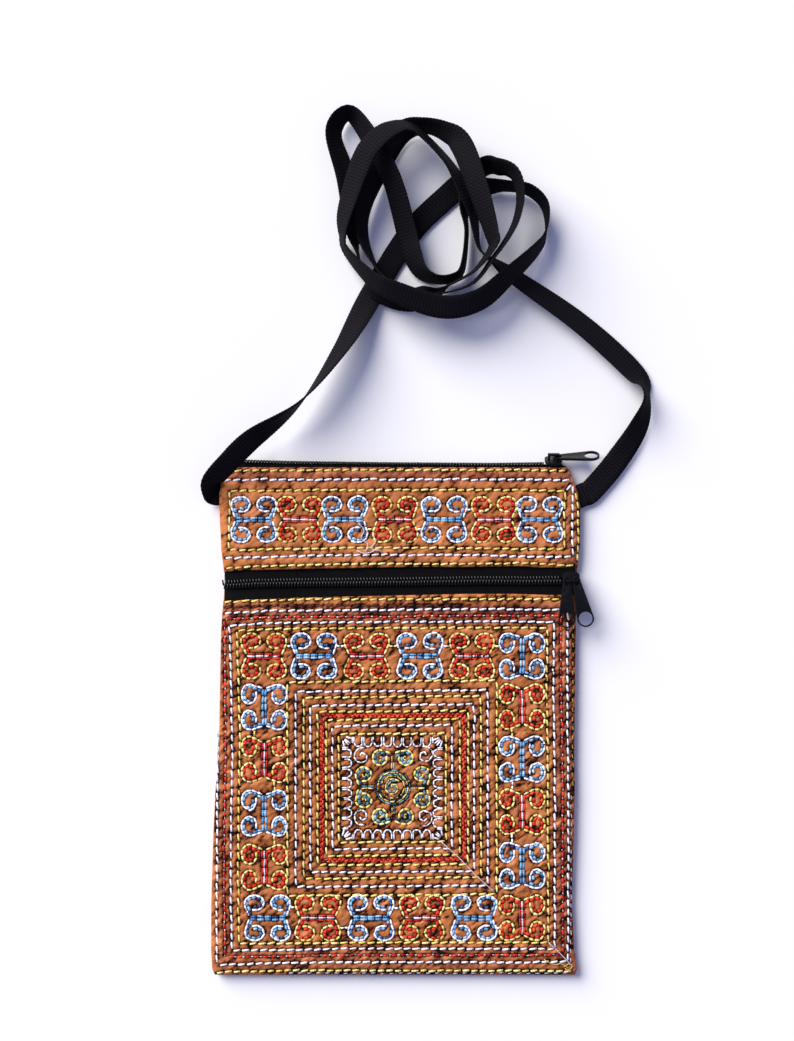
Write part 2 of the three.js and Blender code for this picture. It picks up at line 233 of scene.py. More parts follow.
def cloth_finish(name, settings, main, border):
    """Woven cotton: dyed unevenly, of another colour in the border strips, with painted shade and painted
    fold light.
    """
    main, border, rust, shade = map(tuple, (main, border, settings.rust, settings.shade))

    def build(start):
        place = start.place()
        dye = start.speckle(place, DYE_SCALE, detail=4)
        blotch = start.speckle(place, BLOTCH_SCALE, detail=4)
        fibre = start.speckle(place, FIBRE_SCALE)
        drawn_out = {"Vector": place, "Scale": STREAK_SCALE}
        streak = start.speckle(start.node("Mapping", None, drawn_out), scale=1, detail=3)
        # Noise drawn out along the creases: painted light and shade of loose folds
        slant = {"Vector": place, "Rotation": (0, 0, CREASE_TURN), "Scale": FOLD_SIZE}
        fold = start.speckle(start.node("Mapping", {"vector_type": "TEXTURE"}, slant), scale=1, detail=3)
        weave = start.bands(place, settings.thread, "X") + start.bands(place, settings.thread, "Y")
        ground = start.attribute("strip").mixed(main, border)
        pale = tuple(PALE_GAIN * c + PALE_LIFT for c in main)
        # Pale patches: dye and streaks that vary at random, and painted light on the folds
        uneven = ((dye - 0.45) * 2 + (streak - 0.5) + (fold - 0.5) * 3.4).mixed(ground, pale)
        # Painted shade: holes, creases and stitch edges from the front, the dark side of the folds, with
        # random blotches and fibres
        gloom = start.attribute("pit") + (blotch - 0.5) * 1.6 + (0.5 - fold) * 3.6 + (0.5 - fibre) * 0.8
        # The colour runs through painted half shade into painted shade
        dusk = ((gloom - 0.55) * 2.2).mixed((gloom * 1.25).mixed(uneven, rust), shade)
        return {
            "Base Color": dusk,
            "Roughness": 0.78 + fibre * 0.2,
            "Normal": start.bumped(weave + fibre * 1.5, distance=0.00008, strength=0.55),
        }
    return finish(name, build, Specular_IOR_Level=0.12)


def thread_finish(name, deep, tint, pale):
    """Plied thread: each stitch has its own shade from deep to pale, and two plies twist along it."""
    def build(start):
        map_place = start.node("UVMap", {"uv_map": "along"})
        ply = start.bands(map_place, pitch=0.5, direction="DIAGONAL")
        fuzz = start.speckle(start.place(), scale=2600)
        # Stripes along the twisted plies are painted shade between them; the fuzz is random
        shade = start.attribute("shade") + (ply - 0.5) * 0.2 + (fuzz - 0.5) * 0.2
        stops = [(0, deep), (0.4, tint), (1, pale)]
        return {
            "Base Color": start.node("ValToRGB", {"stops": stops}, {"Fac": shade}),
            "Roughness": 0.42 + fuzz * 0.2,
            "Normal": start.bumped(ply + fuzz * 0.5, distance=0.00012, strength=0.6),
        }
    return finish(name, build, Specular_IOR_Level=0.25)


def woven_black_finish(name, tint, pitch, uv_map=None, rib_share=0.25):
    """Black ribbon or tape: ribs across it, painted light and shade on its ribs and twill, and a little grey
    lint.
    """
    def build(start):
        place = start.node("UVMap", {"uv_map": uv_map}) if uv_map else start.place()
        rib = start.bands(place, pitch, "X")
        twill = start.bands(place, pitch * 0.8, "DIAGONAL")
        lint = start.speckle(start.place(), scale=900, detail=3)
        worn = start.speckle(start.place(), scale=60)
        pale = tuple(c * 2.4 + 0.003 for c in tint)
        # Stripes of ribs and twill are painted light and shade; lint and worn patches are random tone
        grey = rib * rib_share + twill * 0.2 + (lint - 0.5) * 0.9 + worn * 0.25
        return {
            "Base Color": grey.mixed(tint, pale),
            "Roughness": 0.62 + lint * 0.3,
            "Normal": start.bumped(rib * 0.7 + twill + lint * 0.4, distance=0.0001, strength=0.5),
        }
    return finish(name, build, Specular_IOR_Level=0.06)


def coil_finish(name, tint):
    """Moulded nylon: black and shiny on the crowns of its turns."""
    def build(start):
        grain = start.speckle(start.place(), scale=700, detail=3)
        pale = tuple(c * 2 + 0.002 for c in tint)
        return {
            "Base Color": grain.mixed(tint, pale),
            "Roughness": 0.2 + grain * 0.2,
            "Normal": start.bumped(grain, distance=0.00005, strength=0.3),
        }
    return finish(name, build, Specular_IOR_Level=0.45)


def enamel_finish(name, tint, worn_tint):
    """Black enamel on cast metal, rubbed grey in specks."""
    def build(start):
        broad = start.speckle(start.place(), scale=180, detail=4)
        fine = start.speckle(start.place(), scale=1500)
        patches = {"Value": broad * 0.6 + fine * 0.4, "From Min": 0.56, "From Max": 0.7}
        rubbed = start.node("MapRange", None, patches)
        return {
            "Base Color": rubbed.mixed(tint, worn_tint),
            "Roughness": 0.3 + fine * 0.18 + rubbed * 0.15,
            "Metallic": 0.35 + rubbed * 0.5,
            "Normal": start.bumped(fine, distance=0.00006, strength=0.25),
        }
    return finish(name, build, Coat_Weight=0.1, Coat_Roughness=0.25, Specular_IOR_Level=0.3)


# Pieces

def shown(name, mesh, material, body, replaced=()):
    """Adds a finished mesh as a piece that rides on a body, in place of the named CAD nodes."""
    piece = bpy.data.objects.new(name, mesh)
    bpy.context.scene.collection.objects.link(piece)
    mesh.materials.append(material)
    mesh.polygons.foreach_set("use_smooth", np.ones(len(mesh.polygons), bool))
    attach(piece, body)
    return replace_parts(piece, *replaced) if replaced else piece


def array_mesh(name, points, faces):
    """A mesh from arrays of points, in millimetres, and of four-cornered faces."""
    mesh = bpy.data.meshes.new(name)
    mesh.vertices.add(len(points))
    mesh.vertices.foreach_set("co", (points * MM).astype(np.float32).ravel())
    mesh.loops.add(faces.size)
    mesh.loops.foreach_set("vertex_index", faces.astype(np.int32).ravel())
    mesh.polygons.add(len(faces))
    mesh.polygons.foreach_set("loop_start", np.arange(0, faces.size, 4, dtype=np.int32))
    mesh.update(calc_edges=True)
    return mesh


def set_points(mesh, points):
    mesh.vertices.foreach_set("co", (points * MM).astype(np.float32).ravel())
    mesh.update()


def set_attribute(mesh, name, values):
    mesh.attributes.new(name, "FLOAT", "POINT").data.foreach_set("value", values.astype(np.float32))


def set_uv(mesh, name, corners):
    mesh.uv_layers.new(name=name).uv.foreach_set("vector", corners.astype(np.float32).ravel())


def tube_faces(rings, sides):
    """Faces of a tube of rings with closed ends; sides is even."""
    ring = np.arange(rings - 1)[:, None] * sides
    side = np.arange(sides)[None, :]
    turned = (side + 1) % sides
    skin = np.stack([ring + side, ring + turned, ring + sides + turned, ring + sides + side], -1)
    half = np.arange(sides // 2 - 1)
    start = np.stack([sides - 1 - half, sides - 2 - half, half + 1, half], -1)
    end = start[:, ::-1] + (rings - 1) * sides
    return np.concatenate([skin.reshape(-1, 4), start, end])


def tubes_mesh(name, points):
    """A mesh of like tubes, from their points by tube, ring and side, and its faces."""
    count, rings, sides, _ = points.shape
    first = np.arange(count)[:, None, None] * rings * sides
    faces = (tube_faces(rings, sides) + first).reshape(-1, 4)
    return array_mesh(name, points.reshape(-1, 3), faces), faces


def round_turns(sides):
    return np.arange(sides) * math.tau / sides


def grid_mesh(name, columns, rows):
    """A flat grid, and the share across and along of each of its points."""
    bm = bmesh.new()
    bmesh.ops.create_grid(bm, x_segments=columns, y_segments=rows, size=0.5)
    mesh = bpy.data.meshes.new(name)
    bm.to_mesh(mesh)
    bm.free()
    points = np.empty(len(mesh.vertices) * 3, np.float32)
    mesh.vertices.foreach_get("co", points)
    shares = points.reshape(-1, 3).astype(float) + 0.5
    return mesh, shares[:, 0], shares[:, 1]


def thicken(piece, thickness):
    wall = piece.modifiers.new("wall", "SOLIDIFY")
    wall.thickness = thickness
    wall.offset = -1


def close_under(mesh, foot):
    """Closes a shaped cloth: a wall from its rim down to foot(x, y, z), and one plain face under it."""
    bm = bmesh.new()
    bm.from_mesh(mesh)
    rim = [edge for edge in bm.edges if edge.is_boundary]
    made = bmesh.ops.extrude_edge_only(bm, edges=rim)["geom"]
    lower = [item for item in made if isinstance(item, bmesh.types.BMVert)]
    for vert in lower:
        vert.co.z = foot(*(vert.co / MM)) * MM
    bmesh.ops.edgeloop_fill(bm, edges=[edge for edge in bm.edges if edge.is_boundary])
    bmesh.ops.recalc_face_normals(bm, faces=bm.faces)
    bm.to_mesh(mesh)
    bm.free()


# Shape of the cloth, in millimetres as in the CAD

BAG_TOP, BAG_BOTTOM = 105, -108.4
ZIP_RISE = 0.0155
# Lines across the front: height at the middle, slope, and the bow over that slope at places along X
TOP_EDGE, BOTTOM_EDGE = (BAG_TOP, 0, ((0, 0),)), (BAG_BOTTOM, 0, ((0, 0),))
UPPER_HEM = (62, ZIP_RISE, (
    (-74, 0), (-66, 0.7), (-41, 0.9), (-15, 1.05), (12, 1.05), (24, 0.7), (52, 0.7), (60, 0), (76, -0.3),
))
CHAIN_LINE = (56.6, ZIP_RISE, (
    (-74, 0.2), (-60, 0.8), (-40, 0.8), (0, 0.5), (35, 0.5), (54, 0.1), (70, 0),
))
LOWER_HEM = (50.5, ZIP_RISE, (
    (-75, -0.8), (-66, -0.3), (-56, 0), (-41, 0.4), (-26, 0.5), (12, 0.8), (30, 0.9), (50, 0.6), (65, -0.1),
    (76, -0.3),
))
CROWN_HEIGHT, CROWN_RUN = 1.6, 5
PANEL_FACE = 4.5
SEAM_ROLL, SEAM_RUN = 0.7, 1.2
SEAM_FOOT, FOOT_RUN = 1.2, 1.5
HEM_ROLL, HEM_RUN = 0.9, 0.7
CREASE_TURN = math.radians(38)
CREASE_RUN, CREASE_RISE, CREASE_FADE = 15, 4.2, 2

# Height, and the left and right edges of the cloth there
SEAMS = np.array([
    (-108.4, -76.2, 75.2), (-106, -77.3, 76.2), (-98, -77.8, 74.9), (-77, -77.7, 74), (-50, -76.9, 74.8),
    (-30, -76, 75.2), (-16, -74.6, 75), (38, -73.6, 75.6), (57, -72.3, 76.4), (64, -72.6, 76.5),
    (71, -73.5, 77.4), (88, -74.3, 77.6), (94, -74.4, 76.5), (98, -73.9, 75), (103, -73.2, 73.4),
    (105, -72.9, 72.2),
])

# Middle, direction in degrees, half length, half width and rise of each broad pucker
PUCKERS = (
    (-40, 78, 15, 16, 5, 0.3), (18, 84, -20, 18, 5, -0.3), (-44, 12, 60, 22, 7, 0.4),
    (-12, -8, -45, 26, 7, -0.4), (20, 2, 40, 22, 7, 0.5), (34, -52, -50, 24, 7, 0.4),
    (-34, -66, 35, 24, 7, -0.4),
)

# Mauve strips: low and high X, low and high Y, and strength
STRIPS = (
    (-80, 80, 98.6, 106, 0.75), (-80, 80, 39.4, 47.6, 0.95), (65.5, 80, -108, 40, 0.8),
    (-74, -68.6, -108, 40, 0.45), (-80, 80, -105, -97.6, 0.55), (70.6, 80, 62, 98, 0.5),
)
STRIP_SOFTNESS = 0.7


def lerp(first, second, share):
    return first + (second - first) * share


def smooth(value, low, high):
    share = np.clip((value - low) / (high - low), 0, 1)
    return share * share * (3 - 2 * share)


def seams(y):
    return np.interp(y, SEAMS[:, 0], SEAMS[:, 1]), np.interp(y, SEAMS[:, 0], SEAMS[:, 2])


def swell(distance, run):
    return 1 - np.exp(-np.maximum(distance, 0) / run)


def bell(value, width):
    """One at nothing, and fading on both sides over that width."""
    return np.exp(-(value / width) ** 2)


def line_at(line, x):
    """Height of a line across the front at a place along X."""
    middle, slope, bow = line
    return middle + slope * x + np.interp(x, *zip(*bow))


def rim_foot(x, y, z, thickness):
    """Lower edge of a front panel's rim: down on the back at the seams, and one cloth thick at the zips."""
    left, right = seams(y)
    inset = min(x - left, right - x, y - BAG_BOTTOM)
    return lerp(SEAM_FOOT, z - thickness, swell(inset, FOOT_RUN))


def pucker_rise(x, y):
    rise = 0
    for middle_x, middle_y, degrees, long, wide, height in PUCKERS:
        turn = math.radians(degrees)
        along = (x - middle_x) * math.cos(turn) + (y - middle_y) * math.sin(turn)
        across = (y - middle_y) * math.cos(turn) - (x - middle_x) * math.sin(turn)
        rise = rise + height * bell(along, long) * bell(across, wide)
    return rise


def creases(x, y):
    """Loose diagonal creases of the stitched cloth, from about -1 to 1."""
    run = (x * math.cos(CREASE_TURN) + y * math.sin(CREASE_TURN)) / CREASE_RUN
    rise = (y * math.cos(CREASE_TURN) - x * math.sin(CREASE_TURN)) / CREASE_RISE
    return np.array([noise.noise(Vector(place)) for place in zip(run, rise, run * 0)])


def strip_share(x, y):
    share = np.zeros_like(x)
    for low_x, high_x, low_y, high_y, strength in STRIPS:
        inside = np.minimum(np.minimum(x - low_x, high_x - x), np.minimum(y - low_y, high_y - y))
        share = np.maximum(share, strength * smooth(inside, -STRIP_SOFTNESS, STRIP_SOFTNESS))
    return share


class FrontFace:
    """Outer face of the front: crowned, creased, pressed in by its stitches, with a grid of painted shade."""

    # Grids over the front: low corner, size of a cell, rows and columns, and cells that a stitch reaches
    LOW, CELL, SHAPE, REACH = np.array((-80.0, -112.0)), 0.3, (745, 540), 11
    # Sizes of the groove, needle hole, crease and stitch edge, and the painted shade that the hole, crease
    # and edge add
    GROOVE_WIDTH, GROOVE_RUN = 0.75, 0.5
    HOLE_OUT, HOLE_LONG, HOLE_WIDE, HOLE_GLOOM = 0.22, 0.46, 0.68, 1.5
    CREASE_WIDTH, CREASE_SPREAD, CREASE_GLOOM = 0.55, 1.9, 0.8
    EDGE_WIDTH, EDGE_GLOOM = 0.92, 1.0
    # Small creases: how many, how far along X, their range of half lengths, half width and fan of angles
    CRINKLES, CRINKLE_SPAN = 3600, 76
    CRINKLE_LONG, CRINKLE_WIDE, CRINKLE_FAN = (0.9, 2.1), 0.52, math.radians(17)
    # Their depth, the ridge beside each and how far off it is, the painted shade of their valleys, and how
    # few are deep
    CRINKLE_DEPTH, CRINKLE_RIDGE, RIDGE_OFF, CRINKLE_GLOOM, CRINKLE_FEW = 0.42, 0.8, 1.6, 1.15, 1.5
    # Share of their depth and painted shade that is left in the upper panel
    UPPER_CALM = 0.6

    def __init__(self, crease):
        self.crease = crease
        # Grids of dents, of loose creases, and of painted shade
        self.dents, self.loose, self.gloom = (np.zeros(self.SHAPE) for _ in range(3))

    def near(self, x, y, angle):
        """Cells of the grids round each place, and how far they lie along and across its angle."""
        reach = np.arange(-self.REACH, self.REACH + 1)
        columns = np.round((x - self.LOW[0]) / self.CELL).astype(int) + reach[None, None, :]
        rows = np.round((y - self.LOW[1]) / self.CELL).astype(int) + reach[None, :, None]
        right, up = columns * self.CELL + self.LOW[0] - x, rows * self.CELL + self.LOW[1] - y
        along = right * np.cos(angle) + up * np.sin(angle)
        across = up * np.cos(angle) - right * np.sin(angle)
        return tuple(np.broadcast_arrays(rows, columns)), along, across

    def crinkle(self, seed=5):
        """Small sharp creases all over: each a valley with painted shade in it, and a ridge below that
        catches the light.
        """
        random = np.random.default_rng(seed)
        shape = (self.CRINKLES, 1, 1)
        x = random.uniform(-self.CRINKLE_SPAN, self.CRINKLE_SPAN, shape)
        y = random.uniform(BAG_BOTTOM, BAG_TOP, shape)
        cells, along, across = self.near(x, y, random.normal(CREASE_TURN, self.CRINKLE_FAN, shape))
        long = random.uniform(*self.CRINKLE_LONG, shape)
        run = bell(along, long) * random.uniform(0, 1, shape) ** self.CRINKLE_FEW
        run = run * np.where(y > UPPER_HEM[0], self.UPPER_CALM, 1)
        valley = bell(across, self.CRINKLE_WIDE) * run
        ridge = bell(across + self.RIDGE_OFF * self.CRINKLE_WIDE, self.CRINKLE_WIDE) * run
        np.add.at(self.loose, cells, self.CRINKLE_DEPTH * (self.CRINKLE_RIDGE * ridge - valley))
        np.maximum.at(self.gloom, cells, np.minimum(self.CRINKLE_GLOOM * valley, 1))

    def press(self, laid, groove, hole, pinch):
        """Presses stitches in: a groove under each, and at each end a needle hole with a crease across it,
        all in painted shade.
        """
        x, y, angle, length, _, _, share, lean = laid.T[:, :, None, None]
        cells, along, across = self.near(x, y, angle)
        along = np.abs(along)
        under = smooth(length / 2 + self.GROOVE_RUN - along, 0, self.GROOVE_RUN)
        past = along - length / 2 - self.HOLE_OUT
        line, edges = (bell(across, width) * under for width in (self.GROOVE_WIDTH, self.EDGE_WIDTH))
        holes = bell(past, self.HOLE_LONG) * bell(across, self.HOLE_WIDE)
        folds = bell(past + across * lean, self.CREASE_WIDTH) * bell(across, self.CREASE_SPREAD) * share
        depth = np.maximum.reduce([groove * line, hole * holes, pinch * folds])
        np.minimum.at(self.dents, cells, -depth)
        # Painted shade in the needle holes, the creases and the band along each stitch's edges
        dark = [self.HOLE_GLOOM * holes, self.CREASE_GLOOM * folds, self.EDGE_GLOOM * edges]
        np.maximum.at(self.gloom, cells, np.minimum(np.maximum.reduce(dark), 1))

    def read(self, grid, x, y):
        """Value of a grid at a place, read between its points."""
        column, row = (x - self.LOW[0]) / self.CELL, (y - self.LOW[1]) / self.CELL
        left, low = np.floor(column).astype(int), np.floor(row).astype(int)
        right, up = column - left, row - low
        below = lerp(grid[low, left], grid[low, left + 1], right)
        above = lerp(grid[low + 1, left], grid[low + 1, left + 1], right)
        return lerp(below, above, up)

    def dent(self, x, y):
        return self.read(self.dents, x, y)

    def height(self, x, y):
        left, right = seams(y)
        inset = np.minimum(np.minimum(x - left, right - x), y - BAG_BOTTOM)
        crown = swell(x - left, CROWN_RUN) * swell(right - x, CROWN_RUN) * swell(y - BAG_BOTTOM, CROWN_RUN)
        hem = np.minimum(np.abs(y - line_at(UPPER_HEM, x)), np.abs(y - line_at(LOWER_HEM, x)))
        fold = np.minimum(hem, BAG_TOP - y)
        rolled = SEAM_ROLL * (1 - swell(inset, SEAM_RUN)) + HEM_ROLL * (1 - swell(fold, HEM_RUN))
        loose = self.crease * creases(x, y) + self.read(self.loose, x, y)
        loose = loose * swell(inset, CREASE_FADE)
        return PANEL_FACE + CROWN_HEIGHT * crown + pucker_rise(x, y) + loose + self.dent(x, y) - rolled


# Embroidery layout, in millimetres

class Stitches:
    """Stitches by thread: middle X and Y, angle, length, width, shade, and its crease's share and lean."""

    SLANT, WOBBLE, SIDEWAYS = math.radians(8), math.radians(2.5), 0.1
    LENGTHS, WIDTHS = (0.9, 1.05), (0.92, 1.06)
    CREASE_MOST, CREASE_LEAN = 1.3, 0.6

    def __init__(self, pitch, width, seed=11):
        self.pitch = pitch
        self.width = width
        self.random = np.random.default_rng(seed)
        self.laid = {}

    def row(self, thread, points, pitch=None, share=0.95, slant=SLANT, width=1.0, pinch=1.0,
            shade=(0.25, 0.75), phase=0.5):
        """Walks stitches along a line of points."""
        points = np.asarray(points, float)
        run = np.concatenate([[0], np.cumsum(np.hypot(*np.diff(points, axis=0).T))])
        count = max(1, round(run[-1] / (pitch or self.pitch)))
        pitch = run[-1] / count
        middle = (np.arange(count) + phase) * pitch
        half = share * pitch / 2 * self.random.uniform(*self.LENGTHS, count)
        first, last = (
            np.stack([np.interp(place, run, column) for column in points.T])
            for place in (middle - half, middle + half)
        )
        step = last - first
        angle = np.arctan2(step[1], step[0])
        aside = self.random.normal(0, self.SIDEWAYS, count)
        x, y = (first + last) / 2 + aside * np.stack([-np.sin(angle), np.cos(angle)])
        angle = angle + slant + self.random.normal(0, self.WOBBLE, count)
        widths = width * self.width * self.random.uniform(*self.WIDTHS, count)
        shades = self.random.uniform(*shade, count)
        pinches = pinch * self.CREASE_MOST * self.random.uniform(0, 1, count) ** 2
        leans = self.random.normal(0, self.CREASE_LEAN, count)
        made = (x, y, angle, np.hypot(*step), widths, shades, pinches, leans)
        self.laid.setdefault(thread, []).append(np.stack(made, -1))

    def chain(self, thread, points, pitch=2.6, share=1.06, pinch=0.3, **settings):
        """Stitches that touch end to end, along a curve."""
        self.row(thread, points, pitch, share, 0, pinch=pinch, **settings)

    def threads(self):
        return {thread: np.concatenate(rows) for thread, rows in self.laid.items()}


def arc(centre, radii, degrees, count=40):
    """Points round a centre, from the first radius and angle to the last, read between the given ones."""
    share = np.linspace(0, 1, count)
    spread = np.linspace(0, 1, len(radii))
    radius, turn = np.interp(share, spread, radii), np.radians(np.interp(share, spread, degrees))
    return np.stack([centre[0] + radius * np.cos(turn), centre[1] + radius * np.sin(turn)], -1)


def curl(centre, radii, root, tail, inside):
    """An oval curl on the end of a bar along the first axis: out from its root, over the top and back in."""
    turns = (-28, 0, 90, 180, 255, 270 + tail)
    shares = (1, 1, 1, 1, lerp(1, inside, 0.6), inside)
    return np.concatenate([[root], arc((0, 0), shares, turns) * radii + centre])


def placed(points, centre, flip, upright):
    """Points of a motif, mirrored and put in place: an upright motif has its bar along Y."""
    turned = np.asarray(points) * flip
    return (turned[:, ::-1] if upright else turned) + centre


QUARTERS = [(a, b) for a in (-1, 1) for b in (-1, 1)]
# Motifs by filling: outline, half the bar, middle and radii of a curl, and roots of its outline and filling
SCROLLS = {
    "blue": ("white", 7.7, (5.46, 6.2), (4.3, 3.45), (7.9, 0.6), (6.7, 0.9)),
    "red": ("yellow", 7.3, (5.4, 6.25), (4.25, 3.35), (7.4, 0.6), (6, 1.2)),
}
# Rows of each bar: offset from its middle line, thread and width
BARS = {
    "blue": ((0.6, "blue", 1.25), (-0.6, "blue", 1.25)),
    "red": ((0.9, "red", 1.0), (-0.9, "red", 1.0), (0, "white", 0.85)),
}
BAR_SHADES = {"blue": (0.15, 0.85), "red": (0.2, 0.7), "white": (0.1, 0.6)}
# Filling of a curl by thread: distance inside the outline, width and shades
FILLINGS = {"blue": (1, 1.3, (0, 0.95)), "red": (1.1, 1.5, (0.2, 0.8)), "teal": (1, 1.3, (0, 0.8))}
FILLING_PITCH = 2.3
# Outline of a curl by thread: pitch of its stitches, the share of it that each covers, and width
OUTLINES = {"white": (2.5, 1.18, 1.06), "yellow": (2.6, 1.04, 1.16)}
OUTLINE_SHADES = (0.3, 0.9)
# How far the tail of an outline and of a filling turns in, in degrees, and the share of the radius left there
OUTLINE_TAIL, FILLING_TAIL = (20, 0.86), (22, 0.62)
BAR_PITCH = 3.4


def curl_pair(stitches, place, outline, filling, middle, radii, roots):
    """A curl in two threads: the outline, and the filling just inside it."""
    pitch, share, width = OUTLINES[outline]
    outer = placed(curl(middle, radii, roots[0], *OUTLINE_TAIL), *place)
    stitches.chain(outline, outer, pitch, share, width=width, shade=OUTLINE_SHADES)
    inset, width, shades = FILLINGS[filling]
    inner = placed(curl(middle, np.array(radii) - inset, roots[1], *FILLING_TAIL), *place)
    stitches.chain(filling, inner, FILLING_PITCH, width=width, shade=shades)


def scroll_motif(stitches, centre, filling, upright):
    """Four curls at the ends of a bar: white round blue, or yellow round red."""
    outline, half_bar, middle, radii, *roots = SCROLLS[filling]
    for flip in QUARTERS:
        curl_pair(stitches, (centre, flip, upright), outline, filling, middle, radii, roots)
    for rise, thread, width in BARS[filling]:
        line = placed([(-half_bar, rise), (half_bar, rise)], centre, (1, 1), upright)
        stitches.chain(thread, line, BAR_PITCH, width=width, shade=BAR_SHADES[thread])


# Running rows: thread and the points that it passes
UPPER_ROWS = (
    ("yellow", ((-72, 103.5), (-54, 103.7), (0, 103.9), (54, 103.9), (71.6, 103.3))),
    ("white", ((-72.6, 99.6), (-54, 99.8), (45, 99.9), (73.2, 99.5))),
    ("yellow", ((-69.8, 95.1), (-35, 95.4), (45, 95.6), (71, 95))),
    ("yellow", ((71, 95), (70.9, 89), (70.6, 82), (70.7, 70.8))),
    ("yellow", ((70.8, 70.9), (53, 70.7), (18, 71.3), (-17, 71.2), (-52, 70.6), (-70, 70.3))),
    ("yellow", ((-70.2, 70.4), (-70.1, 78), (-69.8, 86), (-69.7, 95.1))),
    ("white", ((-72, 66.9), (-54, 67.4), (-35, 67.9), (0, 68.3), (37, 68.2), (56, 67.5), (73.9, 67.5))),
    ("white", ((74.2, 67.7), (74, 80), (74.3, 97.4))), ("white", ((74.2, 97.6), (71.2, 95.4))),
    ("yellow", (
        (-71.8, 62.7), (-54, 63.6), (-35, 64.1), (0, 64.6), (20, 64.4), (56, 64.7), (70, 64), (74.8, 63.8),
    )),
    ("yellow", ((75.6, 94.6), (76.5, 90), (76.6, 72), (76, 65.4))),
)
LOWER_ROWS = (
    ("yellow", ((-72.6, 48.4), (-55, 49.1), (-37, 49.6), (0, 49.7), (51, 49.8), (68.9, 49.6))),
    ("maroon", ((-72.2, 45.9), (-55, 46.6), (-30, 46.9), (31.1, 47))),
    ("white", ((-72.4, 43.8), (-55, 44.6), (-37, 44.9), (0, 45.2), (34, 45.6), (51, 45.5), (68.9, 45))),
    ("white", ((-70.1, 38.6), (-53, 39.6), (-36, 39.9), (0, 40.1), (40, 40.4), (66.3, 40))),
    ("white", ((66.4, 40), (66.1, 23), (66.2, 6), (66.6, -20), (66.8, -80), (66.7, -97))),
    ("white", ((66.8, -97), (0, -97), (-18, -96.8), (-35, -97.3), (-68.7, -97.7))),
    ("white", (
        (-68.8, -97.6), (-69, -85), (-69.4, -60), (-68.9, -29), (-68.6, -12), (-69.2, 20), (-70, 38.6),
    )),
    ("yellow", ((-66.6, 36.4), (-50, 37.2), (-18, 37.5), (47, 37.8), (63.5, 37.5))),
    ("yellow", ((63.6, 37.4), (63.2, 15), (63.7, -12), (63.9, -94.4))),
    ("yellow", ((64, -94.4), (0, -94.3), (-30, -94.5), (-65.7, -94.8))),
    ("yellow", ((-65.7, -94.6), (-66.2, -62), (-65.7, -29), (-65.4, -10), (-66.2, 20), (-66.7, 36.4))),
    ("white", ((-75, -5), (-75.2, -103.4))),
    ("white", ((-74.3, -103.9), (-56, -103.2), (-19, -102.6), (30, -102.7), (72, -102.6))),
    ("white", ((72.2, -102.6), (72.5, -60), (72.2, -11), (71.9, 15), (72.2, 44.2))),
)
# Rows in the shade of the right and bottom seams, laid with low shades as painted shade
SEAM_ROWS = (
    ("yellow", ((74.3, -30), (74.4, 40))),
    ("white", ((73.4, -104), (73.8, -32))),
    ("white", ((-46, -107.6), (73, -107.6))),
)
BOTTOM_ROW = (
    (-75.8, -107.4), (-70, -107), (-60, -106.7), (-45, -106.3), (0, -106.3), (60, -106.4), (74, -106.8),
)
RED_BORDER = (
    ((-71.4, 41.3), (-54, 42.1), (-30, 42.4), (0, 42.4), (20, 42.8), (69.3, 42.8)),
    ((69.3, 42.4), (69.1, 25), (69.4, 7), (69.9, -20), (70.1, -99.4)),
    ((69.8, -99.7), (-20, -99.6), (-54, -100.3), (-71.2, -100.6)),
    ((-71.8, -100.3), (-72.3, -62), (-71.6, -20), (-71.8, 10), (-72, 41)),
)
BORDER_PITCH = 3.6
# Thread, left, top, right and bottom of each running square
SQUARES = (
    ("yellow", -45.5, 15.1, 42.3, -74.5), ("white", -42, 11.1, 38.5, -70.8),
    ("yellow", -38.6, 8.6, 35.7, -67.4), ("white", -35.9, 5.2, 32.8, -64.7),
    ("yellow", -32.8, 2.5, 30.3, -61.7), ("yellow", -29.2, -0.9, 26.9, -57.9),
    ("white", -26.5, -3.4, 23.5, -55.2), ("yellow", -23.9, -6.9, 21, -52.3),
)
DENSE_RED = (-31, 0.8, 28.6, -59.8)
DENSE_ROWS = (-0.5, 0, 0.5)
# Rise of the squares over their listed heights at the middle, and for each millimetre of X
SQUARE_LIFT, SQUARE_TILT = 0.15, 0.0095
# Motif rows of the upper panel, and of the top, right, bottom and left of the lower one:
# the first two fillings, the middles, and the places in the row where the bar is upright
MOTIF_ROWS = (
    ("blue", "red", [(x, 83.1) for x in (-59.6, -40.3, -21.4, -0.4, 20.2, 41.2, 60.4)], ()),
    ("red", "blue", [(x, 25.8) for x in (-55.4, -34.4, -12.2, 10.1, 31.9, 52.9)], (5,)),
    ("red", "blue", [(52.9, y) for y in (4.6, -17.4, -39.5, -62.1)], range(4)),
    ("blue", "red", [(x, -84) for x in (-53.8, -32.8, -10.5, 10.9, 32.8, 52.9)], (5,)),
    ("blue", "red", [(-55.2, y) for y in (4.4, -17.6, -40.1, -62.8)], range(4)),
)
MEDALLION = (-1.3, -29.2)
CORNER_CURLS = (
    ((-14.3, -15.8), 1, 1), ((12, -15.3), -1, 1), ((-14.3, -41.8), 1, -1), ((11.8, -42.2), -1, -1),
)


def square_sides(left, top, right, bottom, inset=0.3):
    """The four sides of a tilted square, each a little short of the corners."""
    sides = np.array((
        ((left + inset, top), (right - inset, top)), ((right, top - inset), (right, bottom + inset)),
        ((right - inset, bottom), (left + inset, bottom)), ((left, bottom + inset), (left, top - inset)),
    ))
    sides[..., 1] += SQUARE_LIFT + SQUARE_TILT * sides[..., 0]
    return sides


# One arch between two legs of the comb: share of the way along, and of its depth
ARCH = np.array([(0.08, 0.58), (0.28, 0.94), (0.72, 0.94), (0.92, 0.58)])
# Reach of a leg as a share of that depth, and its distance to the side
LEG_REACH, LEG_SPREAD = 0.66, 0.36


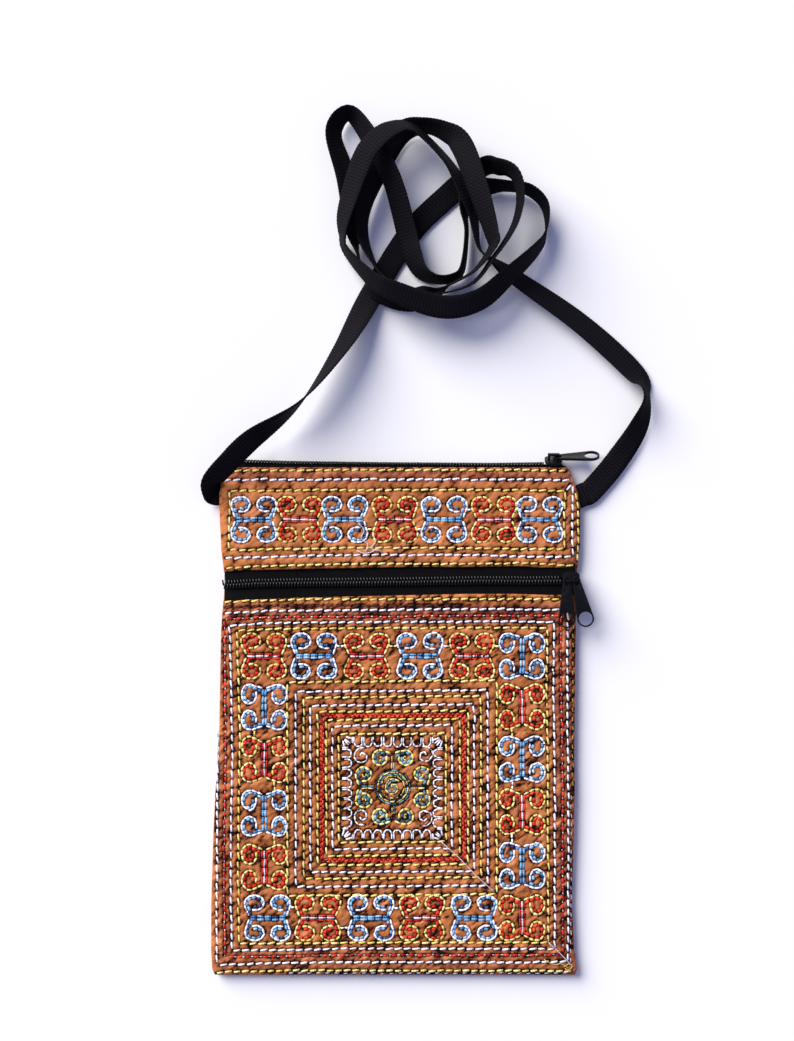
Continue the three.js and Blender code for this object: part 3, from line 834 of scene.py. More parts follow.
def comb(stitches, start, end, inward, count, depth=4.6):
    """White arches on a line, with a double leg where two of them meet."""
    start, end, inward = (np.array(v, float) for v in (start, end, inward))
    step, rise = (end - start) / count, inward * depth
    aside = step / np.hypot(*step) * LEG_SPREAD
    for place in range(count + 1):
        for way in (-1, 1):
            foot = start + step * place + aside * way
            stitches.chain("white", (foot, foot + rise * LEG_REACH), pitch=3.2, width=0.72)
    for place in range(count):
        arch = [start + step * (place + share) + rise * up for share, up in ARCH]
        stitches.chain("white", arch, pitch=1.9, share=1.12, width=0.78)


# Medallion: radius and thread of its rings, radii and turns of its two spirals, and a stem with two threads
RINGS = ((7.2, "teal"), (6.45, "yellow"), (5.7, "teal"), (4.95, "yellow"))
YELLOW_SPIRAL = (3.7, 3.3, 2.1, 0.6), (40, 220, 400, 580)
TEAL_SPIRAL = (2.8, 2.3, 1.2, 0.3), (60, 240, 420, 560)
STEM, STEM_THREADS = np.array([(7.4, 0), (13.4, 0)]), ((0.4, "teal"), (-0.4, "yellow"))
# A curl on the stem: middle, radii, and roots of its outline and filling; and the hook inside it
STEM_CURL = (12.3, 5.3), (3.4, 3.4), ((14.2, 0.8), (13, 1))
STEM_HOOK = (1.2, 1, 0.4), (150, 300, 420)


def medallion(stitches):
    """A ring with an inner spiral, and a pair of curls on each of its four sides, in yellow and teal."""
    middle = np.array(MEDALLION)
    *_, shade = FILLINGS["teal"]
    for radius, thread in RINGS:
        ring = arc(middle, (radius, radius), (0, 360), count=60)
        stitches.chain(thread, ring, pitch=3, width=0.7, shade=shade)
    stitches.chain("yellow", arc(middle, *YELLOW_SPIRAL, count=60), pitch=2.4, width=0.8)
    stitches.chain("teal", arc(middle, *TEAL_SPIRAL, count=60), pitch=2.2, width=0.8, shade=shade)
    for upright in (False, True):
        for way in (-1, 1):
            for rise, thread in STEM_THREADS:
                line = placed(STEM + (0, rise), middle, (way, 1), upright)
                stitches.chain(thread, line, width=0.8, shade=shade)
            for side in (-1, 1):
                place = (middle, (way, side), upright)
                curl_pair(stitches, place, "yellow", "teal", *STEM_CURL)
                hook = placed(arc(STEM_CURL[0], *STEM_HOOK), *place)
                stitches.chain("yellow", hook, pitch=1.6, width=0.75)


# Square of arches: left, top, right and bottom, the room at its corners, and arches to a side
COMB_SQUARE, COMB_CORNER, COMB_ARCHES = (-22.9, -7.9, 20, -51.4), 5, 8
# Radii and turns of a corner's curl, and the angles and reach of its fan
CORNER_CURL = (1, 1.6, 3.1, 3.4, 3.4), (200, 30, -60, -150, -290)
FAN_DEGREES, FAN_REACH = (16, 38, 52, 74), (1.6, 5)


def comb_square(stitches):
    """White arches round the medallion, with a fan in each corner and a white curl by it."""
    left, top, right, bottom = COMB_SQUARE
    low_x, high_x, low_y, high_y = (
        left + COMB_CORNER, right - COMB_CORNER, bottom + COMB_CORNER, top - COMB_CORNER,
    )
    sides = (
        ((low_x, top), (high_x, top), (0, -1)), ((right, high_y), (right, low_y), (-1, 0)),
        ((high_x, bottom), (low_x, bottom), (0, 1)), ((left, low_y), (left, high_y), (1, 0)),
    )
    for start, end, inward in sides:
        comb(stitches, start, end, inward, COMB_ARCHES)
    for (x, y), across, along in CORNER_CURLS:
        flip = np.array((across, along))
        line = arc((0, 0), *CORNER_CURL) * flip + (x, y)
        stitches.chain("white", line, pitch=2.5, share=1.12, width=0.85)
        corner = np.array((left if across > 0 else right, top if along > 0 else bottom))
        for turn in np.radians(FAN_DEGREES):
            ray = np.array((math.cos(turn), -math.sin(turn))) * flip
            stitches.chain("white", corner + np.outer(FAN_REACH, ray), pitch=3.4, width=0.85)


def dense_square(stitches):
    """The red square: three rows of short stitches side by side."""
    left, top, right, bottom = DENSE_RED
    for out in DENSE_ROWS:
        for side in square_sides(left - out, top + out, right + out, bottom - out):
            stitches.chain("red", side, pitch=1.9, share=1.0, pinch=0.2, width=0.9, shade=(0, 1.15))


def red_border(stitches):
    """The red line of the border, with thin white stitches in some of its gaps."""
    for side in RED_BORDER:
        stitches.row("red", side, BORDER_PITCH, share=0.78, width=1.2, pinch=0.6, shade=(0.05, 0.8))
        stitches.row("white", side, BORDER_PITCH, share=0.32, width=0.52, pinch=0, shade=(-0.3, 0.7), phase=0)


# A thread between two motifs: distance aside, and where it starts from each middle
JOIN_ASIDE, JOIN_START, JOIN_RANGE = 4.2, 9.5, (-0.4, 0.2)


def joins(stitches, middles):
    """Short pale threads that carry on from one motif to the next."""
    for first, second in itertools.pairwise(np.array(middles)):
        way = (second - first) / np.hypot(*(second - first))
        side = np.array((-way[1], way[0])) * stitches.random.choice((-JOIN_ASIDE, JOIN_ASIDE))
        reach = JOIN_START + stitches.random.uniform(*JOIN_RANGE)
        line = (first + way * reach + side, second - way * reach + side)
        stitches.chain(stitches.random.choice(("white", "yellow")), line, pitch=2.2, shade=(0.3, 0.9))


def embroidery(pitch, width):
    """Every stitch of the front."""
    stitches = Stitches(pitch, width)
    for thread, points in (*UPPER_ROWS, *LOWER_ROWS):
        stitches.row(thread, points, width=0.7 if thread == "maroon" else 1)
    # Seam rows are thin, with low shades that paint the seams' shade on them
    for thread, points in SEAM_ROWS:
        stitches.row(thread, points, share=0.6, width=0.6, shade=(-0.3, 0.2))
    for thread, *square in SQUARES:
        for side in square_sides(*square):
            stitches.row(thread, side)
    red_border(stitches)
    dense_square(stitches)
    for *fillings, middles, upright in MOTIF_ROWS:
        for place, centre in enumerate(middles):
            scroll_motif(stitches, centre, fillings[place % 2], place in upright)
    for *_, middles, _ in MOTIF_ROWS:
        joins(stitches, middles)
    medallion(stitches)
    comb_square(stitches)
    stitches.row("yellow", BOTTOM_ROW, BORDER_PITCH, pinch=0.4, shade=(0.4, 0.9))
    return stitches.threads()


# Rings of one stitch: share of its length, girth, lift over the cloth in thread widths, and painted shade
# where it dips in
STITCH_RINGS = np.array([
    (-0.52, 0.3, -0.3, 0.6), (-0.36, 0.85, 0.2, 0.1), (0, 1, 0.34, 0), (0.36, 0.85, 0.2, 0.1),
    (0.52, 0.3, -0.3, 0.6),
])
STITCH_SIDES = 6
STITCH_FLATNESS = 0.7


def stitch_mesh(name, laid, face):
    """All stitches of one thread as one mesh, each a short bowed strand that dips in at both ends."""
    x, y, angle, length, width, shade, _, _ = laid.T[:, :, None]
    share, girth, lift, fade = STITCH_RINGS.T
    ring_x, ring_y = x + np.cos(angle) * length * share, y + np.sin(angle) * length * share
    floor = face.height(ring_x.ravel(), ring_y.ravel()).reshape(ring_x.shape)
    # A bowed strand keeps a steady height over the cloth below it
    level = np.median(floor, axis=1, keepdims=True)
    centre = np.minimum(floor, level) + lift * width
    turn = round_turns(STITCH_SIDES)
    aside = (girth * width / 2)[:, :, None] * np.cos(turn)
    up = (girth * width / 2)[:, :, None] * np.sin(turn) * STITCH_FLATNESS
    points = np.stack([
        ring_x[:, :, None] - np.sin(angle)[:, :, None] * aside,
        ring_y[:, :, None] + np.cos(angle)[:, :, None] * aside,
        centre[:, :, None] + up,
    ], -1)
    mesh, faces = tubes_mesh(name, points)
    # Each stitch's own shade, less painted shade at its ends where it dips into the cloth
    set_attribute(mesh, "shade", np.repeat((shade - fade).ravel(), STITCH_SIDES))
    along = np.repeat((length * share).ravel(), STITCH_SIDES)
    round_it = np.tile(turn / math.tau, floor.size)
    set_uv(mesh, "along", np.stack([along, round_it], -1)[faces.ravel()])
    return mesh


# Strap route from inside the left seam to inside the right one, in metres, and the ribbon's roll in degrees
STRAP_ROUTE = np.array([
    (-0.0715, 0.0939, 0.0021, 0), (-0.0746, 0.094, 0.002, 0), (-0.0767, 0.0942, 0.0024, 10),
    (-0.0776, 0.0966, 0.0056, 50), (-0.0761, 0.1, 0.0092, 40), (-0.0706, 0.106, 0.0108, 34),
    (-0.0603, 0.1161, 0.0114, 36), (-0.04, 0.1315, 0.0116, 90), (-0.023, 0.1545, 0.0084, 132),
    (-0.0097, 0.179, 0.0014, 176), (0.006, 0.204, 0.001, 180), (0.0215, 0.2195, 0.0012, 186),
    (0.0355, 0.2305, 0.005, 228), (0.043, 0.2295, 0.0125, 248), (0.049, 0.225, 0.0172, 253),
    (0.0512, 0.216, 0.017, 257), (0.0485, 0.204, 0.017, 258), (0.0403, 0.1913, 0.017, 260),
    (0.03, 0.1802, 0.0124, 260), (0.01, 0.1763, 0.011, 264), (0.0003, 0.1804, 0.0122, 262),
    (-0.0078, 0.1876, 0.0086, 262), (-0.0143, 0.203, 0.0056, 240), (-0.0126, 0.2175, 0.005, 232),
    (-0.0034, 0.2385, 0.0028, 205), (0.0038, 0.2468, 0.004, 220), (0.012, 0.248, 0.0065, 244),
    (0.0205, 0.2447, 0.0095, 232), (0.027, 0.2385, 0.013, 206), (0.0332, 0.2215, 0.0166, 215),
    (0.0394, 0.2015, 0.0164, 240), (0.0398, 0.1956, 0.0174, 252), (0.032, 0.186, 0.0134, 260),
    (0.0206, 0.1806, 0.0065, 266), (0.0125, 0.177, 0.0034, 334), (0.004, 0.1756, 0.0029, 340),
    (-0.0066, 0.179, 0.0056, 330), (-0.013, 0.1872, 0.007, 276), (-0.0164, 0.1952, 0.0058, 264),
    (-0.0185, 0.205, 0.005, 236), (-0.021, 0.2265, 0.0038, 216), (-0.026, 0.243, 0.0048, 228),
    (-0.0248, 0.25, 0.005, 234), (-0.0206, 0.2536, 0.0054, 244), (-0.0165, 0.251, 0.0058, 236),
    (-0.0092, 0.239, 0.0105, 226), (-0.0013, 0.2237, 0.0098, 220), (0.0043, 0.204, 0.0058, 214),
    (0.0068, 0.1945, 0.0056, 220), (0.0103, 0.1874, 0.0054, 238), (0.0164, 0.184, 0.0056, 256),
    (0.0232, 0.1842, 0.0056, 258), (0.0278, 0.1882, 0.0057, 258), (0.0296, 0.203, 0.0058, 260),
    (0.0286, 0.212, 0.0056, 248), (0.0298, 0.218, 0.0042, 216), (0.033, 0.2215, 0.0034, 200),
    (0.038, 0.2228, 0.005, 234), (0.046, 0.223, 0.0057, 256), (0.056, 0.2213, 0.0055, 255),
    (0.0626, 0.2144, 0.0056, 260), (0.0628, 0.203, 0.0057, 276), (0.0584, 0.1955, 0.0088, 292),
    (0.046, 0.1833, 0.0144, 312), (0.034, 0.1736, 0.0156, 327), (0.0185, 0.1708, 0.0162, 336),
    (-0.0017, 0.1776, 0.0158, 319), (-0.0102, 0.1828, 0.0125, 300), (-0.0206, 0.195, 0.0076, 282),
    (-0.0224, 0.202, 0.0096, 288), (-0.0212, 0.211, 0.0126, 313), (-0.0143, 0.2308, 0.016, 335),
    (-0.0088, 0.239, 0.0173, 335), (-0.0025, 0.244, 0.0166, 326), (0.0036, 0.2463, 0.0134, 308),
    (0.0102, 0.2438, 0.011, 296), (0.022, 0.2317, 0.0099, 296), (0.0294, 0.2186, 0.01, 314),
    (0.0322, 0.211, 0.008, 298), (0.0346, 0.198, 0.0057, 282), (0.0382, 0.1936, 0.0056, 284),
    (0.05, 0.185, 0.0042, 318), (0.0773, 0.166, 0.0032, 336), (0.0995, 0.146, 0.003, 338),
    (0.1052, 0.136, 0.0055, 292), (0.1022, 0.1225, 0.004, 328), (0.0924, 0.107, 0.002, 354),
    (0.0824, 0.0953, 0.0017, 360), (0.0794, 0.0938, 0.0019, 360), (0.0768, 0.0926, 0.002, 360),
    (0.0738, 0.0914, 0.0021, 360),
])
# Rows of the route where the strap leaves one seam and enters the other, and its length in metres
STRAP_EXIT, STRAP_END, STRAP_LENGTH = 1, -2, 1.141
# Steps of the mesh to a rib, and to a point of the strap's path
RIB_STEPS, PATH_STEP = 4, 8
# Outline of the ribbon's section, in half widths and half thicknesses
RIBBON_SECTION = np.array([
    (-1, -0.4), (-0.95, -1), (-0.5, -1), (0, -1), (0.5, -1), (0.95, -1), (1, -0.4),
    (1, 0.4), (0.95, 1), (0.5, 1), (0, 1), (-0.5, 1), (-0.95, 1), (-1, 0.4),
])
EDGE_NOTCH = 0.12 * MM
CURVE_STEPS = 24


def smooth_line(route, step):
    """Even steps along one smooth curve through the rows of a route, and the length of the curve."""
    rows = np.concatenate([route[:1], route, route[-1:]])
    share = np.linspace(0, 1, CURVE_STEPS, endpoint=False)[:, None]
    spans = []
    for a, b, c, d in zip(rows, rows[1:], rows[2:], rows[3:]):
        square, cube = 2 * a - 5 * b + 4 * c - d, 3 * b - a - 3 * c + d
        spans.append((2 * b + (c - a) * share + square * share ** 2 + cube * share ** 3) / 2)
    fine = np.concatenate([*spans, route[-1:]])
    run = np.concatenate([[0], np.cumsum(np.linalg.norm(np.diff(fine[:, :3], axis=0), axis=1))])
    even = np.linspace(0, run[-1], round(run[-1] / step) + 1)
    return np.stack([np.interp(even, run, column) for column in fine.T], -1), even


def unit(vectors):
    return vectors / np.linalg.norm(vectors, axis=-1, keepdims=True)


def ribbon_mesh(name, settings):
    """The strap: a ribbed ribbon, rolled about its middle line, and the points of that line."""
    line, run = smooth_line(STRAP_ROUTE, settings.rib_pitch / RIB_STEPS)
    middle, roll = line[:, :3], np.radians(line[:, 3:])
    ahead = unit(np.gradient(middle, axis=0))
    level = unit(np.cross((0, 0, 1), ahead))
    across = level * np.cos(roll) + np.cross(ahead, level) * np.sin(roll)
    outward = np.cross(ahead, across)
    valley = (0.5 - 0.5 * np.cos(math.tau * run / settings.rib_pitch))[:, None]
    half_width = settings.width / 2 - EDGE_NOTCH * valley
    half_thick = (settings.thickness - settings.rib_height * valley) / 2
    aside, out = RIBBON_SECTION.T
    points = (middle[:, None] + across[:, None] * (half_width * aside)[..., None]
              + outward[:, None] * (half_thick * out)[..., None])
    mesh, faces = tubes_mesh(name, points[None] / MM)
    places = np.stack([np.repeat(run, len(aside)), (half_width * aside).ravel()], -1)
    set_uv(mesh, "along", places[faces.ravel()])
    return mesh, middle


class BAG_OT_stage(bpy.types.Operator):
    """Camera straight over the bag, white floor and soft light from the upper left"""
    bl_idname = "bag.stage"
    bl_label = "Stage"

    VIEW_MIDDLE = (0.0004, 0.0827)
    LENS, SENSOR = 50, 36
    FLOOR_GRID, FLOOR_SIZE, FLOOR_DROP = (8, 8), (6, 6, 0), (0, 0, 0.0003)
    KEY_AIM, KEY_SPREAD = (1, -1, -0.88), math.radians(47)

    def execute(self, context):
        scene = context.scene
        settings = scene.bag_stage
        lens = bpy.data.cameras.new("camera")
        lens.lens, lens.sensor_width = self.LENS, self.SENSOR
        camera = bpy.data.objects.new("camera", lens)
        camera.location = (*self.VIEW_MIDDLE, settings.camera_height)
        scene.collection.objects.link(camera)
        scene.camera = camera

        floor_mesh, _, _ = grid_mesh("floor", *self.FLOOR_GRID)
        flat = np.array([v.co for v in floor_mesh.vertices])
        set_points(floor_mesh, (flat * self.FLOOR_SIZE - self.FLOOR_DROP) / MM)
        floor = bpy.data.objects.new("floor", floor_mesh)
        scene.collection.objects.link(floor)
        tint = tuple(settings.floor)

        def paper(start):
            tooth = start.speckle(start.place(), scale=900, detail=3)
            return {"Base Color": (tooth * 0.12).mixed(tint, tuple(0.94 * c for c in tint)),
                    "Normal": start.bumped(tooth, distance=0.00005, strength=0.1)}
        floor_mesh.materials.append(finish("white_floor", paper, Roughness=0.85, Specular_IOR_Level=0.2))

        lamp = bpy.data.lights.new("key", "SUN")
        lamp.energy, lamp.angle, lamp.color = settings.key_strength, self.KEY_SPREAD, settings.key
        key = bpy.data.objects.new("key", lamp)
        key.rotation_euler = Vector(self.KEY_AIM).to_track_quat("-Z", "Y").to_euler()
        scene.collection.objects.link(key)

        scene.world = bpy.data.worlds.new("studio")
        scene.world.use_nodes = True
        sky = scene.world.node_tree.nodes["Background"]
        sky.inputs["Color"].default_value = (*settings.sky, 1)
        sky.inputs["Strength"].default_value = settings.sky_strength
        scene.view_settings.view_transform = "Standard"
        return {"FINISHED"}


class BAG_OT_strap(bpy.types.Operator):
    """Ribbed ribbon that lies in a loose tangle above the bag"""
    bl_idname = "bag.strap"
    bl_label = "Strap"

    def execute(self, context):
        settings = context.scene.bag_strap
        mesh, middle = ribbon_mesh("strap_ribbon", settings)
        ribbed = woven_black_finish("ribbed_ribbon", tuple(settings.ribbon), settings.rib_pitch,
                                    uv_map="along", rib_share=0.9)
        strap = shown("strap_ribbon", mesh, ribbed, BAG, ["strap"])
        ends = STRAP_ROUTE[[STRAP_EXIT, STRAP_END], :3]
        first, last = (np.linalg.norm(middle - end, axis=1).argmin() for end in ends)
        return {"FINISHED"}


@functools.lru_cache(maxsize=1)
def stitched_front(pitch, width, groove, hole, pinch, crease):
    """The front's outer face with every stitch pressed in, and the stitches by thread."""
    threads = embroidery(pitch / MM, width / MM)
    face = FrontFace(crease / MM)
    for laid in threads.values():
        face.press(laid, groove / MM, hole / MM, pinch / MM)
    face.crinkle()
    return face, threads


def front_of(scene):
    cloth, thread = scene.bag_cloth, scene.bag_thread
    return stitched_front(thread.pitch, thread.width, cloth.groove, cloth.hole, cloth.pinch, cloth.crease)


class BAG_OT_back_cloth(bpy.types.Operator):
    """Plain back panel that the bag lies on"""
    bl_idname = "bag.back_cloth"
    bl_label = "Back cloth"

    FACE, EDGE_ROLL, EDGE_RUN, RIPPLE = 1.6, 0.5, 1.5, 0.12
    GRID = (76, 106)
    FLAT = (0.151, 0.212)

    def execute(self, context):
        cloth = context.scene.bag_cloth
        mesh, across, along = grid_mesh("back_cloth", *self.GRID)
        y = lerp(BAG_BOTTOM, BAG_TOP, along)
        left, right = seams(y)
        x = lerp(left, right, across)
        inset = np.minimum(np.minimum(x - left, right - x), np.minimum(y - BAG_BOTTOM, BAG_TOP - y))
        rolled = self.EDGE_ROLL * np.exp(-inset / self.EDGE_RUN)
        z = self.FACE - rolled - self.RIPPLE * (1 + creases(x, y)) / 2
        set_points(mesh, np.stack([x, y, z], -1))
        # The plain back has no strips and no painted shade
        for name in ("strip", "pit"):
            set_attribute(mesh, name, np.zeros(len(x)))
        plain = cloth_finish("back_cotton", cloth, cloth.back, cloth.back)
        piece = shown("back_cloth", mesh, plain, BAG, ["back_panel"])
        thicken(piece, cloth.thickness)
        return {"FINISHED"}


class BAG_OT_front_cloth(bpy.types.Operator):
    """Upper and lower front panels, quilted by their stitches"""
    bl_idname = "bag.front_cloth"
    bl_label = "Front cloth"

    # Name, CAD node, lines below and above, grid, flat size, and how much lighter its painted crease shade is
    PANELS = (
        ("upper_front_cloth", "upper_front_panel", UPPER_HEM, TOP_EDGE, (300, 86), (0.15, 0.043), 0.14),
        ("lower_front_cloth", "lower_front_panel", BOTTOM_EDGE, LOWER_HEM, (300, 306), (0.152, 0.158), 0.03),
    )

    def execute(self, context):
        cloth = context.scene.bag_cloth
        face, _ = front_of(context.scene)
        cotton = cloth_finish("copper_cotton", cloth, cloth.front, cloth.border)
        for name, node, low, high, grid, flat, ease in self.PANELS:
            mesh, across, along = grid_mesh(name, *grid)
            left, right = seams(lerp(low[0], high[0], along))
            x = lerp(left, right, across)
            y = lerp(line_at(low, x), line_at(high, x), along)
            set_points(mesh, np.stack([x, y, face.height(x, y)], -1))
            set_attribute(mesh, "strip", strip_share(x, y))
            # Painted shade of holes, creases and stitch edges, made lighter by the panel's share
            set_attribute(mesh, "pit", face.read(face.gloom, x, y) - ease)
            close_under(mesh, functools.partial(rim_foot, thickness=cloth.thickness / MM))
            piece = shown(name, mesh, cotton, BAG, [node])
        return {"FINISHED"}


class BAG_OT_embroidery(bpy.types.Operator):
    """Every stitch of the front, one piece for each thread colour"""
    bl_idname = "bag.embroidery"
    bl_label = "Embroidery"

    # Screen colours of the deepest and the palest stitches of each thread
    RANGES = {
        "white": ((196, 190, 200), (255, 255, 255)), "yellow": ((186, 150, 66), (254, 246, 184)),
        "red": ((112, 8, 14), (236, 98, 62)), "blue": ((20, 28, 88), (184, 222, 246)),
        "teal": ((16, 36, 58), (160, 206, 214)), "maroon": ((44, 14, 12), (124, 62, 52)),
    }

    def execute(self, context):
        settings = context.scene.bag_thread
        face, threads = front_of(context.scene)
        for thread, laid in threads.items():
            deep, pale = (screen(*tint) for tint in self.RANGES[thread])
            material = thread_finish(thread + "_thread", deep, tuple(getattr(settings, thread)), pale)
            name = "stitches_" + thread
            shown(name, stitch_mesh(name, laid, face), material, BAG)
        return {"FINISHED"}


# Zips, in millimetres as in the CAD
TAPE_LEVEL, TAPE_THICKNESS, TAPE_TUCK = 1.9, 0.7, 4
CHAIN_LEVEL = 2.9
FRONT_TAPE_ENDS, FRONT_CHAIN_ENDS = (-72.3, 75.3), (-73.6, 69.3)
TOP_TAPE_ENDS, TOP_CHAIN_ENDS = (-68.4, 71.8), (-66, 62.3)
TOP_MIDDLE = 3.05
# Height of the top coil's foot at places along X
TOP_CHAIN_FACE = (-66, -45, -7, 40, 62), (107.1, 106.5, 106, 105.7, 106)
TAPE_WEAVE = 0.6 * MM
# One turn of the coil, from its outer edge to past the middle: across the zip, out of the tape, and along
TOOTH_PATH = np.array([
    (1.66, 0.1, 0), (1.74, 0.5, 0.02), (1.42, 0.88, 0.08), (0.75, 1.02, 0.2), (0.1, 0.98, 0.3),
    (-0.4, 0.66, 0.36),
])
TOOTH_RADIUS, TOOTH_GIRTH = 0.38, (0.7, 1, 1, 1, 1, 0.7)
TOOTH_SIDES = 6


def zip_crown(x, y):
    """The front zip stands off the back except at its left end."""
    return CROWN_HEIGHT * swell(x - seams(y)[0], CROWN_RUN)


def coil_mesh(name, starts, across, out, along):
    """Two rows of turns that mesh along a zip, from each turn's place and the directions of the zip."""
    axes = np.array((across, out, along), float)
    turn = round_turns(TOOTH_SIDES)[:, None]
    half_pitch = np.linalg.norm(starts[1] - starts[0]) / 2
    girth = TOOTH_RADIUS * np.array(TOOTH_GIRTH)[:, None, None]
    rows = []
    for side in (1, -1):
        path = TOOTH_PATH * (side, 1, 1) + (0, 0, 0 if side > 0 else half_pitch)
        ahead = unit(np.gradient(path, axis=0))
        first = unit(np.array((0, 0, 1)) - ahead * ahead[:, 2:])
        second = np.cross(ahead, first)
        spread = first[:, None] * np.cos(turn) + second[:, None] * np.sin(turn)
        rows.append(starts[:, None, None] + (path[:, None] + girth * spread) @ axes)
    mesh, _ = tubes_mesh(name, np.concatenate(rows))
    return mesh


def chain_places(ends, pitch):
    return np.linspace(ends[0] + pitch / 2, ends[1] - pitch, round((ends[1] - ends[0]) / pitch))


def zip_finishes(settings):
    """The tape's and the coil's materials, made once."""
    tape, coil = (bpy.data.materials.get(name) for name in ("zip_tape_weave", "zip_coil_nylon"))
    tape = tape or woven_black_finish("zip_tape_weave", tuple(settings.tape), TAPE_WEAVE)
    return tape, coil or coil_finish("zip_coil_nylon", tuple(settings.coil))


class BAG_OT_front_zip(bpy.types.Operator):
    """Tapes and coil of the zip across the front"""
    bl_idname = "bag.front_zip"
    bl_label = "Front zip"

    GRID = (150, 12)
    # Half the gap between the tapes, along the zip and past the slider, and where it widens
    HALF_GAP, SLIDER_GAP, SLIDER_FROM, SLIDER_TO = 0.3, 1.2, 66, 72
    # How far the tape goes under the hem at its ends, and where it starts and stops going further
    END_TUCK, TUCK_FROM, TUCK_TO = 1.2, (-65, -61), (57, 61)
    # Height of the tape's ripples, their closeness along X and Y, and the run in which they grow
    RIPPLE, RIPPLE_ALONG, RIPPLE_ACROSS, RIPPLE_RUN = 0.1, 2, 0.5, 2

    def execute(self, context):
        settings = context.scene.bag_zip
        tape, nylon = zip_finishes(settings)
        for side, hem, part in ((1, UPPER_HEM, "upper"), (-1, LOWER_HEM, "lower")):
            name = f"front_zip_{part}_tape"
            mesh, across, along = grid_mesh(name + "_weave", *self.GRID)
            x = lerp(*FRONT_TAPE_ENDS, across)
            gap = lerp(self.HALF_GAP, self.SLIDER_GAP, smooth(x, self.SLIDER_FROM, self.SLIDER_TO))
            inner = line_at(CHAIN_LINE, x) + side * gap
            tucked = smooth(x, *self.TUCK_FROM) * (1 - smooth(x, *self.TUCK_TO))
            outer = line_at(hem, x) + side * lerp(self.END_TUCK, TAPE_TUCK, tucked)
            y = lerp(inner, outer, along) if side > 0 else lerp(outer, inner, along)
            ripple = self.RIPPLE * creases(x * self.RIPPLE_ALONG, y * self.RIPPLE_ACROSS)
            ripple = ripple * swell(np.abs(y - inner), self.RIPPLE_RUN)
            z = TAPE_LEVEL + TAPE_THICKNESS + zip_crown(x, y) + ripple
            set_points(mesh, np.stack([x, y, z], -1))
            thicken(shown(name + "_weave", mesh, tape, BAG, [name]), TAPE_THICKNESS * MM)
        x = chain_places(FRONT_CHAIN_ENDS, settings.tooth_pitch / MM)
        y = line_at(CHAIN_LINE, x)
        starts = np.stack([x, y, CHAIN_LEVEL + zip_crown(x, y)], -1)
        slope = unit(np.array((1, ZIP_RISE, 0)))
        mesh = coil_mesh("front_zip_coil", starts, (-slope[1], slope[0], 0), (0, 0, 1), slope)
        shown("front_zip_coil", mesh, nylon, BAG, ["front_zip_chain"])
        return {"FINISHED"}


class BAG_OT_top_zip(bpy.types.Operator):
    """Tapes and coil of the zip along the top edge"""
    bl_idname = "bag.top_zip"
    bl_label = "Top zip"

    GRID = (110, 10)
    # Depth of a tape in the bag, its gap to the coil's middle, its least fold, and share of the thickness
    TAPE_DEPTH, LIP_GAP, LIP_LEAST, THINNING = 6, 0.3, 0.75, 0.8
    # Share of the way across a tape, and of its rise and of its fold towards the coil there
    LIP_PLACES, LIP_RISE, LIP_FOLD = (0, 0.5, 0.75, 0.9, 1), (0, 0.86, 0.97, 1, 1), (0, 0, 0.14, 0.5, 1)
    # Place along the zip, and how far up its tapes reach there
    LIP_REACH = (-68.4, -45, -7, 40, 60, 69, 71.8), (107.5, 106.8, 106.3, 106, 106.3, 106.7, 105.2)

    def execute(self, context):
        settings = context.scene.bag_zip
        tape, nylon = zip_finishes(settings)
        for front in (True, False):
            name = "top_zip_front_tape" if front else "top_zip_back_tape"
            mesh, across, along = grid_mesh(name + "_weave", *self.GRID)
            x = lerp(*TOP_TAPE_ENDS, across)
            left, right = seams(np.full_like(x, BAG_TOP))
            crown = CROWN_HEIGHT * swell(x - left, CROWN_RUN) * swell(right - x, CROWN_RUN)
            outside = TAPE_LEVEL + TAPE_THICKNESS + crown if front else np.full_like(x, TAPE_LEVEL)
            lip = np.maximum(np.abs(outside - TOP_MIDDLE) - self.LIP_GAP, self.LIP_LEAST)
            share = along if front else 1 - along
            reach = np.interp(x, *self.LIP_REACH) - BAG_TOP + self.TAPE_DEPTH
            y = BAG_TOP - self.TAPE_DEPTH + reach * np.interp(share, self.LIP_PLACES, self.LIP_RISE)
            depth = np.interp(share, self.LIP_PLACES, self.LIP_FOLD) * lip
            set_points(mesh, np.stack([x, y, outside - depth if front else outside + depth], -1))
            piece = shown(name + "_weave", mesh, tape, BAG, [name])
            thicken(piece, self.THINNING * TAPE_THICKNESS * MM)
        x = chain_places(TOP_CHAIN_ENDS, settings.tooth_pitch / MM)
        starts = np.stack([x, np.interp(x, *TOP_CHAIN_FACE), np.full_like(x, TOP_MIDDLE)], -1)
        mesh = coil_mesh("top_zip_coil", starts, (0, 0, -1), (0, 1, 0), (1, 0, 0))
        shown("top_zip_coil", mesh, nylon, BAG, ["top_zip_chain"])
        return {"FINISHED"}


